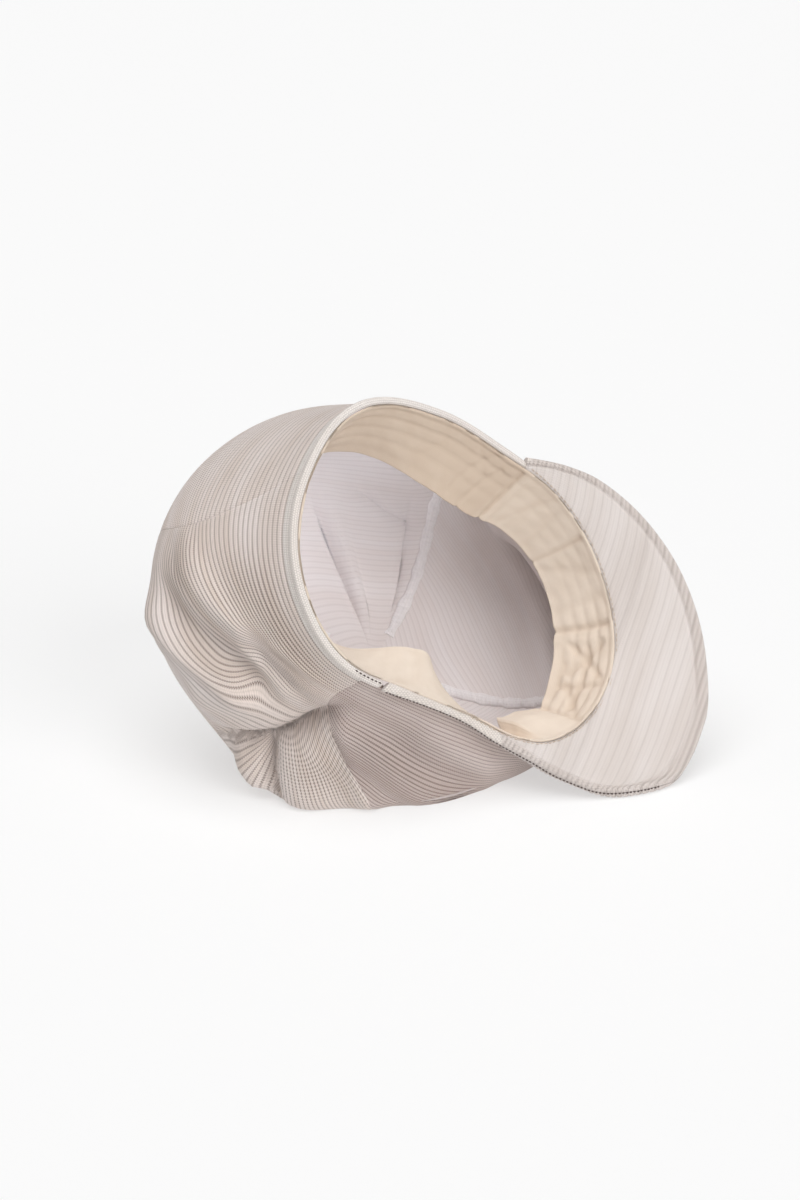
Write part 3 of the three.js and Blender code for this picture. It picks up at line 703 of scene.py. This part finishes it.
def make_panel(name, first, second, turn, rib_rows, columns, early):
    ends = SEAMS[first], SEAMS[second]
    pinched, turned = "left" in (first, second), first == "left"
    rib_line = np.arange(0, CREST * PANEL_END + 0.2, RIB / rib_rows)[:, None]
    inner = [c for c in np.interp(np.linspace(0, 1, columns), [0, early, 1], [0, 0.25, 1]) if 0.04 < c < 0.96]
    across = np.array(EDGE_STEPS + inner + [1 - c for c in reversed(EDGE_STEPS)])[None, :]
    lean = ease((rib_line - CHEVRON_FROM) / (CHEVRON_TO - CHEVRON_FROM))
    spread = 1 / np.cos((across - 0.5) * CHEVRON_TURN) - 1
    along = np.clip((rib_line - lean * (CREST - rib_line) * spread) / CREST, 0, PANEL_END)
    start = ends[0].at("angle", along)
    end = ends[1].at("angle", along) + turn
    degrees = start + (end - start) * across
    count = rib_line / RIB + 0 * across
    seam_line = 0 * count
    if pinched:
        drop = across_table(DROPPED, rib_line / CREST) * ease((DROP_FROM - degrees) / DROP_OVER) * turned
        along = np.clip(along - drop - pinch_pull(rib_line / CREST - drop, degrees), 0, PANEL_END)
        start, end = ends[0].at("angle", along), ends[1].at("angle", along)
        degrees = start + (end - start) * across
    run = run_along_rows(crown_outside(degrees, along))
    tuck = (SEAM_TUCK[first] * np.exp(-((run / 1.0) ** 2))
            + SEAM_TUCK[second] * np.exp(-(((run[:, -1:] - run) / 1.0) ** 2)))
    if turned:
        count, run, seam_line = turned_ribs(count, run, degrees, along)
    strip = ease((EDGE_STRIP - rib_line) / 0.8) * (first != "right" and second != "left")
    strip_groove = 0.5 * np.exp(-(((rib_line - EDGE_STRIP - 0.4) / 0.6) ** 2)) * (strip.max() > 0)
    gather_and_shade = gathered(degrees, along)
    depth = (RIB_DEPTH + gather_and_shade) * (1 - strip) * (1 - 0.8 * seam_line)
    sink = depth * (1 - rib_round(count)) + tuck + strip_groove
    back_ribs = INSIDE_RIB_DEPTH * (1 - rib_round(count + 0.5))
    face, back = crown_layers(degrees, along, sink, WALL - back_ribs)
    middle = np.array([(ends[0].at("angle", 1.0) + ends[1].at("angle", 1.0) + turn) / 2])
    tip = crown_layers(middle, np.array([PANEL_TIP]), np.array([0.3]), np.array([WALL]))
    uv = np.stack([run, count], -1)
    plain_rows = int((strip > 0.5).sum())
    # the front left panel takes the shaded copy of the knit: painted shade
    materials = [RIB_FRONT_SHADED if name == "crown_front_left" else RIB_OUTSIDE, PLAIN_KNIT, RIB_INSIDE]
    # the gathers also go to the material, which paints shade there
    piece = cloth(name + "_ribs", face, back, uv, materials, tip, plain_rows=plain_rows, gather_and_shade=gather_and_shade / 0.5)
    finish_piece(piece, "rib_knit", name)


for panel in PANELS:
    make_panel(*panel)

# %% [markdown]
# ## Seam allowances
# Inside the crown each panel seam is a raised ridge: two cut edges turned together and bound with overlock
# thread. A strip on the cloth's inside carries the loops of thread as waves across it.

# %% Seam strips
SEAM_WIDTH = {"front": 5.5, "left": 3.6, "back": 5.5, "right": 5.5}
SEAM_RISE = {"front": 2.4, "left": 1.6, "back": 2.6, "right": 1.9}
SEAM_FROM, SEAM_TO = 0.194, 0.923
LOOP = 2.4               # one overlock loop


def make_seam(name):
    seam = SEAMS[name]
    rows = int((SEAM_TO - SEAM_FROM) * CREST / 0.5)
    along = np.linspace(SEAM_FROM, SEAM_TO, rows)[:, None]
    across = np.sin(np.linspace(-1, 1, 15) * math.pi / 2)[None, :]
    spread = half_across(seam, along, SEAM_WIDTH[name])
    swell = 1 + 0.12 * np.sin(along * 61) + 0.08 * np.sin(along * 143 + 1)
    degrees = seam.at("angle", along) + across * spread * swell
    far = along * CREST
    loops = 0.5 + 0.5 * np.cos(2 * math.pi * (far / LOOP + 0.3 * across))
    high = SEAM_RISE[name] * np.sqrt(1 - 0.96 * across**2) * (0.82 + 0.18 * loops)
    grow = ease((far - SEAM_FROM * CREST) / 4) * ease((SEAM_TO * CREST - far) / 4)
    depth = WALL + high * (0.25 + 0.75 * grow)
    face, back = crown_layers(degrees, along + 0 * across, depth, WALL - 0.3 + 0 * high)
    uv = np.stack([far + 0 * across, across * 0.9 + 0 * far], -1)
    piece = cloth("seam_%s_overlock" % name, face, back, uv, [SEAM_EDGE], flip=True)
    finish_piece(piece, "rib_knit", "seam_" + name)


for name in SEAMS:
    make_seam(name)

# %% [markdown]
# ## Rim hem
# From the left corner of the peak round the back, the knit is turned in and sewn as a rounded roll of plain
# knit. It is swept along the rim, and its ends are closed round, as the sewn ends of the real one are.

# %% Hem
HEM_IN, HEM_OUT, HEM_LOW = 2.4, 1.5, -2.4
HEM_FROM, HEM_TO = 99.6, 284.0
RIM_REACH = 84           # mean distance of the rim from the axis


def rim_point(degrees, inward, up):
    """A point of the rim line, moved in toward the axis and up."""
    out = SECTIONS.at("rim", degrees) - inward
    return lie(out * np.cos(degrees * RAD), out * np.sin(degrees * RAD), up)


def make_hem():
    length = (HEM_TO - HEM_FROM) * RAD * RIM_REACH
    degrees = np.linspace(HEM_FROM, HEM_TO, int(length / 0.4))[:, None]
    far = (degrees - HEM_FROM) * RAD * RIM_REACH
    turn = np.linspace(0, 2 * math.pi, 25)[None, :]
    high = CROWN_START - GAP
    half_in, half_up = (HEM_IN + HEM_OUT) / 2, (high - HEM_LOW) / 2
    close = np.sqrt(np.clip(1 - (1 - np.minimum(far, length - far) / 2.2).clip(0) ** 2, 0.0004, 1))
    size = close * (0.97 - 0.06 * ease((degrees - HEM_TO + 9) / 6))
    box = 1 / (np.abs(np.cos(turn)) ** 2.6 + np.abs(np.sin(turn)) ** 2.6) ** (1 / 2.6)
    wave = 0.25 * np.sin(far / 11) + 0.15 * np.sin(far / 4.7)
    inward = (HEM_IN - HEM_OUT) / 2 + half_in * box * np.cos(turn) * size
    up = (high + HEM_LOW) / 2 + half_up * box * np.sin(turn) * size + wave * 0.3 * close
    points = rim_point(degrees + 0 * turn, inward, up)
    rows, columns = points.shape[:2]
    faces = tube_faces(rows, columns - 1, columns)
    uv = np.stack([far + 0 * turn, turn * 1.9 / RIB + 0 * far], -1).reshape(-1, 2)
    piece = make_mesh("rim_hem_roll", points.reshape(-1, 3), faces, uv, None, [PLAIN_KNIT])
    finish_piece(piece, "rib_knit", "rim_hem")


make_hem()

# %% [markdown]
# ## Sweatband
# A cotton strip, folded double, is sewn along the rim and leans into the hollow. Long lines of stitches
# hold its filling, and where the cap is squeezed the strip buckles into creases and cells.

# %% Sweatband tables
BAND_OUT, BAND_WIDE = 2.5, 27
BAND_JOIN = 38.0
BAND = Table("at lean deep low", [
    (0, 16, 24, -3.7),
    (15, 10, 26, -3.7),
    (30, 8, 26, -3.7),
    (45, 13, 24, -3.7),
    (60, 20, 20, -3.7),
    (75, 26, 12, -3),
    (90, 26, 14, -3),
    (105, 23, 18, -2.2),
    (118, 16, 22, -1.6),
    (135, 8, 25, -1.6),
    (160, 4, 27, -1.6),
    (190, 3, 28, -1.6),
    (210, 14, 25, -1.6),
    (225, 24, 20, -1.6),
    (240, 28, 18, -1.6),
    (255, 28, 18, -1.6),
    (270, 27, 19, -1.8),
    (285, 26, 20, -2.6),
    (300, 22, 21, -3.7),
    (315, 18, 23, -3.7),
    (330, 15, 24, -3.7),
    (345, 16, 24, -3.7),
], period=360)
CHANNEL, FIRST_CHANNEL = 5.2, 2.6        # mm between the lines of stitches, and from the rim to the first
PADDING = Table("at rise shade", [       # how high the cotton swells between those lines, and how much painted shade darkens it
    (38, 0, 0), (60, 0.08, 0), (150, 0.1, 0), (185, 0.5, 0.3), (215, 0.8, 0.6), (255, 0.8, 0.85), (280, 0.8, 0.9),
    (287, 0.4, 0.35), (335, 0.35, 0), (350, 0.9, 0.15), (370, 0.9, 0.15), (380, 0.2, 0), (398, 0, 0)])
BAND_CREASES = [  # start and end (at, mm from the rim), width in mm, height in mm
    ((283, 0), (286, 27), 1.5, -1.5), ((287, 0), (290, 27), 1.8, 0.5), ((316, 0), (320, 27), 1.4, -1.1),
    ((344, 0), (347, 27), 1.5, -1.6), ((348, 0), (351, 27), 1.8, 0.6), ((377, 2), (374, 27), 1.6, -1.5),
    ((350, 6), (361, 20), 1.7, -1.3), ((361, 5), (351, 21), 1.7, -1.2), ((363, 4), (366, 22), 1.5, -1.1),
    ((352, 13), (373, 14), 1.4, -1.0), ((365, 20), (375, 8), 1.7, -1.2), ((358, 22), (370, 24), 1.6, -0.9),
    ((270, 3), (258, 22), 2.4, -0.9), ((276, 8), (268, 26), 2.2, -0.9), ((262, 4), (272, 15), 2.0, -0.7),
    ((246, 10), (234, 22), 2.6, -0.6), ((222, 5), (206, 13), 2.8, -0.5), ((300, 5), (296, 24), 2.4, -0.5),
    ((306, 8), (312, 24), 2.4, -0.5), ((328, 6), (324, 25), 2.6, -0.5), ((336, 5), (340, 24), 2.4, -0.5),
    ((104, 3), (92, 20), 4.0, 0.8), ((96, 4), (84, 12), 3.0, -0.6), ((74, 4), (62, 14), 3.2, 0.6),
]
FLAP_FROM, FLAP_TO, FLAP_RISE = 372.0, 392.5, 9.0     # the band's sewn end stands in, and is cut off square


def near_line(x, y, start, end):
    """Distance from a line between two points."""
    run_x, run_y = end[0] - start[0], end[1] - start[1]
    t = np.clip(((x - start[0]) * run_x + (y - start[1]) * run_y) / (run_x**2 + run_y**2), 0, 1)
    return np.hypot(x - start[0] - t * run_x, y - start[1] - t * run_y)


def band_relief(degrees, down):
    """How far the cotton's inner face stands in from its plain form."""
    x, y = degrees * RAD * RIM_REACH, down * BAND_WIDE
    tube = np.abs(np.sin(math.pi * (y - FIRST_CHANNEL) / CHANNEL)) ** 0.55
    total = PADDING.at("rise", degrees) * (tube - 0.5) * ease(down / 0.1)
    total = total + 0.15 * np.sin(x / 9 + y / 6) + 0.12 * np.sin(x / 5.3 - y / 4) + 0.07 * np.sin(x / 2.3 + y)
    total = total - 0.5 * np.exp(-(((y - 25) / 0.5) ** 2)) + 0.25 * np.exp(-(((y - 27) / 1.2) ** 2))
    for start, end, width, height in BAND_CREASES:
        off = near_line(x, y, (start[0] * RAD * RIM_REACH, start[1]), (end[0] * RAD * RIM_REACH, end[1]))
        total = total + height * np.exp(-((off / width) ** 2)) * ease((y - 1) / 3)
    return total


def flap(degrees, down):
    """How far the band's sewn end stands in toward the hollow."""
    rise = ease((degrees - FLAP_FROM) / 12) * (1 - ease((degrees - FLAP_TO + 1.3) / 1.3))
    return FLAP_RISE * rise * ease(down / 0.7)


def band_at(degrees, down, depth):
    lean, deep, low = (BAND.at(n, degrees) for n in ("lean", "deep", "low"))
    return rim_point(degrees, BAND_OUT + depth + lean * down**1.4, low + (deep - low) * down)


def make_band():
    end = GAP / 90 / RAD
    degrees = np.linspace(BAND_JOIN + end, BAND_JOIN + 360 - end, 640)[:, None]
    down = np.concatenate([[0, 0.012], np.linspace(0.03, 0.97, 30), [0.985, 1.0]])[None, :]
    degrees, down = np.broadcast_arrays(degrees, down)
    edge = np.minimum(down, 1 - down) * BAND_WIDE
    thin = BAND_CLOTH * (0.5 - 0.5 * np.sqrt(np.clip(1 - (1 - edge / 0.6).clip(0) ** 2, 0, 1)))
    folded = flap(degrees, down)
    relief = band_relief(degrees, down)
    outer = band_at(degrees, down, thin + 0.5 * relief + folded)
    inner = band_at(degrees, down, BAND_CLOTH - thin + relief + folded)
    uv = np.stack([degrees * RAD * RIM_REACH, down * BAND_WIDE], -1)
    # painted shade: the band is darker along its top stretch and in its creases
    gather_and_shade = PADDING.at("shade", degrees) + 0.35 * np.clip(-relief, 0, 1)
    piece = cloth("sweatband_cotton", outer, inner, uv, [COTTON], gather_and_shade=np.concatenate([gather_and_shade, gather_and_shade]))
    finish_piece(piece, "cotton", "sweatband")


make_band()

# %% [markdown]
# ## Peak
# The peak is a stiff board between two covers of the rib knit. The ribs run from the wearer's left to
# right, so each row of mesh holds one distance to the front, and the crescent is made of two patches that
# meet at its front. The ribs bow a little to the back at both sides. On the ridge by the outer edge they
# stand up like the turns of a rope.

# %% Peak tables
PEAK = Table("along at front left drop", [
    (0.000, -80, 13, -75, 2),
    (0.060, -73, 34, -83, 5),
    (0.115, -66, 54, -86, 8),
    (0.185, -55, 80, -80, 14),
    (0.255, -42, 104, -66, 20),
    (0.325, -28, 123, -47, 24),
    (0.390, -15, 137, -25, 26),
    (0.475, 0, 147, 4, 27),
    (0.560, 16, 144, 38, 25),
    (0.620, 26, 134, 54, 22),
    (0.660, 31, 120, 62, 18),
    (0.735, 38, 91, 65.5, 9),
    (0.800, 43, 73, 65, 5),
    (0.860, 50, 54, 65, 2),
    (0.910, 62, 34.5, 65, 1.6),
    (0.955, 78, 14.5, 68.3, 1.5),
    (1.000, 100, -13, 74.8, 1.5),
])
# the ribs run straight across at one place and bow to the back on both sides of it, in mm for each mm squared
BOW_MIDDLE, BOW_ON_RIGHT, BOW_ON_LEFT = 13.0, 0.0019, 0.0028
PEAK_SEAM_IN, PEAK_SEAM_DROP = 1.2, 1.4
PEAK_RIDGE, PEAK_RIDGE_THICK = 7.0, 0.7
PEAK_FROM, PEAK_FRONT, PEAK_TO = 0.002, 0.485, 0.998
PEAK_RIB = 2.5
PEAK_ROWS = 5            # rows of mesh to a rib
PEAK_RIB_DEPTH = 0.2
PEAK_EDGE = 2.4          # how far in the outer edge is rounded
PEAK_TUCK = 1.4          # cover that runs on under the sweatband
PLAIN_HORN = 7.0         # where the peak is narrower than this, its cover is plain knit


def peak_ends(along):
    seam = rim_point(PEAK.at("at", along), PEAK_SEAM_IN, -PEAK_SEAM_DROP)
    return seam, lie(PEAK.at("front", along), PEAK.at("left", along), -PEAK.at("drop", along))


def peak_middle(along, across):
    seam, edge = peak_ends(along)
    level = PEAK_CLOTH + GAP / 2 + PEAK_RIDGE_THICK
    return press(seam + (edge - seam) * np.asarray(across)[..., None], level, PEAK_ROUND)


def peak_at(along, across, depth):
    way = outward(peak_middle, np.clip(along, 0.02, 0.98), np.clip(across, 0.02, 0.98), 0.01, 0.02)
    return peak_middle(along, across) + way * np.asarray(depth)[..., None]


def front_of(along, across):
    """Distance to the front of a place on the peak, in the ribs' own bowed measure."""
    at, out = PEAK.at("at", along) * RAD, SECTIONS.at("rim", PEAK.at("at", along)) - PEAK_SEAM_IN
    front = out * np.cos(at) * (1 - across) + PEAK.at("front", along) * across
    left = out * np.sin(at) * (1 - across) + PEAK.at("left", along) * across
    return front + np.where(left > BOW_MIDDLE, BOW_ON_LEFT, BOW_ON_RIGHT) * (left - BOW_MIDDLE) ** 2


def peak_width(along):
    seam, edge = peak_ends(along)
    return np.linalg.norm(edge - seam, axis=-1)


def peak_patch(start):
    """Grid of (along, across) with one distance to the front for each row, from a corner to the front."""
    line = np.linspace(start, PEAK_FRONT, 400)
    step = PEAK_RIB / PEAK_ROWS
    low = max(front_of(start, c) for c in (0.0, 1.0))
    tuck = -PEAK_TUCK / peak_width(PEAK_FRONT)
    inner_top, outer_top = front_of(PEAK_FRONT, tuck), front_of(PEAK_FRONT, 1.0)
    fronts = np.arange(math.ceil(low / step), outer_top / step - 0.2) * step
    share = 1 - (1 - np.linspace(0, 1, 34)) ** 2.0
    rows = []
    for front in fronts:
        corner = front >= inner_top
        if corner:
            least = tuck + (1 - tuck) * (front - inner_top) / (outer_top - inner_top)
        else:
            reach = np.maximum.accumulate(front_of(line, 0.0) + np.arange(400) * 1e-6)
            least = -PEAK_TUCK / peak_width(np.interp(front, reach, line))
        across = least + (1 - least) * share
        along = []
        for c in across:
            reach = np.maximum.accumulate(front_of(line, c) + np.arange(400) * 1e-6)
            along.append(np.interp(front, reach, line))
        if corner:
            along[0] = PEAK_FRONT
        rows.append(np.stack([along, across], -1))
    return np.array(rows), fronts


def peak_grids():
    """Both patches joined along the front: their (along, across), distances to the front, runs and quads."""
    places, far, runs, quads = [], [], [], []
    for start, way in ((PEAK_FROM, -1), (PEAK_TO, 1)):
        grid, fronts = peak_patch(start)
        rows, columns = grid.shape[:2]
        base = sum(len(p) for p in places)
        places.append(grid.reshape(-1, 2))
        far.append(np.repeat(fronts, columns))
        runs.append(way * run_along_rows(peak_middle(grid[..., 0], grid[..., 1])).ravel())
        quads += [tuple(base + i for i in (q if way < 0 else q[::-1])) for q in grid_quads(rows, columns)]
    places, far, runs = np.vstack(places), np.concatenate(far), np.concatenate(runs)
    _, first, same = np.unique(np.round(places, 6), axis=0, return_index=True, return_inverse=True)
    same = same.ravel()
    return places[first], far[first], runs[first], [tuple(int(same[i]) for i in q) for q in quads]


PEAK_GRID = peak_grids()


def make_peak_cover(name, side):
    places, far, runs, quads = PEAK_GRID
    along, across = places.T
    width = peak_width(along)
    from_edge = (1 - across) * width
    count = far / PEAK_RIB
    plain = ease((PLAIN_HORN - width) / 2)
    thick = PEAK_CLOTH + PEAK_RIDGE_THICK * ease((PEAK_RIDGE - from_edge) / 1.5) * 0.8 * (1 - plain)
    thick = thick - 1.1 * np.exp(-(((from_edge - PEAK_RIDGE) / 0.9) ** 2)) * (1 - plain)
    round_edge = np.sqrt(np.clip(1 - (1 - from_edge / PEAK_EDGE).clip(0) ** 2, 0, 1))
    thick = 0.15 + (thick - 0.15) * (0.08 + 0.92 * round_edge)
    on_ridge = ease((PEAK_RIDGE - 0.5 - from_edge) / 1.0)
    rope = 1 + 3.4 * on_ridge
    pairs = 1 - 0.5 * np.mod(np.floor(count + 0.5), 2) * (1 - on_ridge)
    ribs = PEAK_RIB_DEPTH * rope * pairs * (1 - rib_round(count)) * np.clip(from_edge, 0.3, 1) * (1 - plain)
    thick = thick - ribs - 0.8 * ease(-across * width / PEAK_TUCK)
    outer = peak_at(along, across, side * (GAP / 2 + np.maximum(thick, 0.1)))
    inner = peak_at(along, across, side * GAP / 2 + 0 * thick)
    faces = closed_faces(quads, len(places), flip=side < 0)
    marks = [int(plain[q[0]] > 0.5) for q in faces[:len(quads)]] + [0] * (len(faces) - len(quads))
    uv = np.stack([runs, count], -1)
    # on the rope ridge the material paints the grooves and yarn darker: painted shade among the tall ribs
    piece = make_mesh(name + "_ribs", np.vstack([outer, inner]), faces, np.vstack([uv, uv]), marks,
                      [RIB_PEAK, PLAIN_KNIT], np.concatenate([on_ridge, 0 * on_ridge]))
    finish_piece(piece, "peak_cloth", name)


PEAK_SIDES = {"peak_upper": -1, "peak_lower": 1}
for name, side in PEAK_SIDES.items():
    make_peak_cover(name, side)

# %% [markdown]
# ## Threads
# A dark thread is sewn over the peak's near edge and the end of the hem, and a tan one holds the sweatband.
# Each stitch is a small spindle laid along its path, a little proud of the cloth.

# %% Stitches
def make_stitches(name, path, step, length, thick, material, slot):
    """Short spindles along a path of points in millimetres."""
    run = np.concatenate([[0], np.cumsum(np.linalg.norm(np.diff(path, axis=0), axis=-1))])
    points, faces = [], []
    rings = [(-1.0, 0.25), (-0.6, 0.85), (0.0, 1.0), (0.6, 0.85), (1.0, 0.25)]
    sides = 6
    for k, middle in enumerate(np.arange(length, run[-1] - length, step)):
        ends = [np.array([np.interp(end, run, path[:, c]) for c in range(3)])
                for end in (middle - length / 2, middle + length / 2)]
        along = ends[1] - ends[0]
        along /= np.linalg.norm(along)
        side = np.cross(along, [0.3, 0.2, 1.0])
        side /= np.linalg.norm(side)
        other = np.cross(along, side)
        centre = (ends[0] + ends[1]) / 2 + side * 0.2 * math.sin(k * 2.4)
        base = len(points)
        for place, wide in rings:
            for i in range(sides):
                turn = 2 * math.pi * i / sides
                around = side * math.cos(turn) + other * math.sin(turn)
                points.append(centre + along * place * length / 2 + around * wide * thick / 2)
        faces += tube_faces(len(rings), sides, sides, base)
    piece = make_mesh(name, np.array(points), faces, np.zeros((len(points), 2)), None, [material])
    finish_piece(piece, slot)


edge_places = np.linspace(0.995, 0.6, 300)
edge_path = peak_at(edge_places, np.full(300, 1.0), np.full(300, 0.0))
edge_path[:, 1] -= 0.25
make_stitches("edge_thread", edge_path, 1.9, 1.1, 0.85, DARK_THREAD, "peak_cloth")
hem_angles = np.linspace(100.2, 112, 60)
make_stitches("hem_thread", rim_point(hem_angles, 0.6, HEM_LOW - 0.1), 2.2, 1.4, 0.8, DARK_THREAD, "rib_knit")
band_angles = np.linspace(-76, 62, 400)
make_stitches("band_thread", rim_point(band_angles, BAND_OUT - 0.9, -3.7), 2.6, 1.9, 0.35, TAN_THREAD, "cotton")

# %% [markdown]
# ## Floor, light and camera
# The cap is shown on a plain white floor. One soft light comes from the right and reaches into the hollow,
# and a wide one comes from above. The floor gives off some light of its own, so that it stays white beside
# the cap's shade. The camera looks down by 20 degrees with a long lens, so the near cloth isn't swollen.

# %% Studio
FLOOR = 16               # metres from the middle to each side


def make_floor():
    material, _ = new_material("pale lit floor", {
        "Base Color": (0.5, 0.5, 0.5, 1), "Roughness": 0.9, "Specular IOR Level": 0.1,
        "Emission Color": (1, 1, 1, 1), "Emission Strength": 0.48})
    mesh = bpy.data.meshes.new("floor")
    corners = [(-FLOOR, -FLOOR, 0), (FLOOR, -FLOOR, 0), (FLOOR, FLOOR, 0), (-FLOOR, FLOOR, 0)]
    mesh.from_pydata(corners, [], [(0, 1, 2, 3)])
    mesh.materials.append(material)
    floor = bpy.data.objects.new("floor", mesh)
    bpy.context.collection.objects.link(floor)


def make_sun(name, place, wide, power):
    """A soft light from the direction of a place, spread over an angle in degrees."""
    light = bpy.data.lights.new(name, "SUN")
    light.angle, light.energy = wide * RAD, power
    made = bpy.data.objects.new(name, light)
    made.location = place
    bpy.context.collection.objects.link(made)
    made.rotation_euler = (Vector((0, 0, 0.05)) - Vector(place)).to_track_quat("-Z", "Y").to_euler()


make_floor()
make_sun("key light", (0.55, -0.69, 0.465), 40, 1.3)
make_sun("top light", (-0.15, -0.3, 1.4), 60, 1.95)

world = bpy.data.worlds.new("studio")
world.use_nodes = True
set_inputs(world.node_tree.nodes["Background"], {"Color": (1, 1, 1, 1), "Strength": 0.18})
scene = bpy.context.scene
scene.world = world
scene.view_settings.view_transform = "Standard"

# %% Camera
AIM = RIM_CENTRE + np.array([-24.8, -4.9, -13.4])
LOOK_DOWN = 20 * RAD
camera_data = bpy.data.cameras.new("camera")
camera_data.lens, camera_data.sensor_width = 63.0, 36.0
camera = bpy.data.objects.new("camera", camera_data)
camera.location = (AIM + 1000 * np.array([0, -math.cos(LOOK_DOWN), math.sin(LOOK_DOWN)])) * MM
camera.rotation_euler = (math.pi / 2 - LOOK_DOWN, 0, 0)
bpy.context.collection.objects.link(camera)
scene.camera = camera
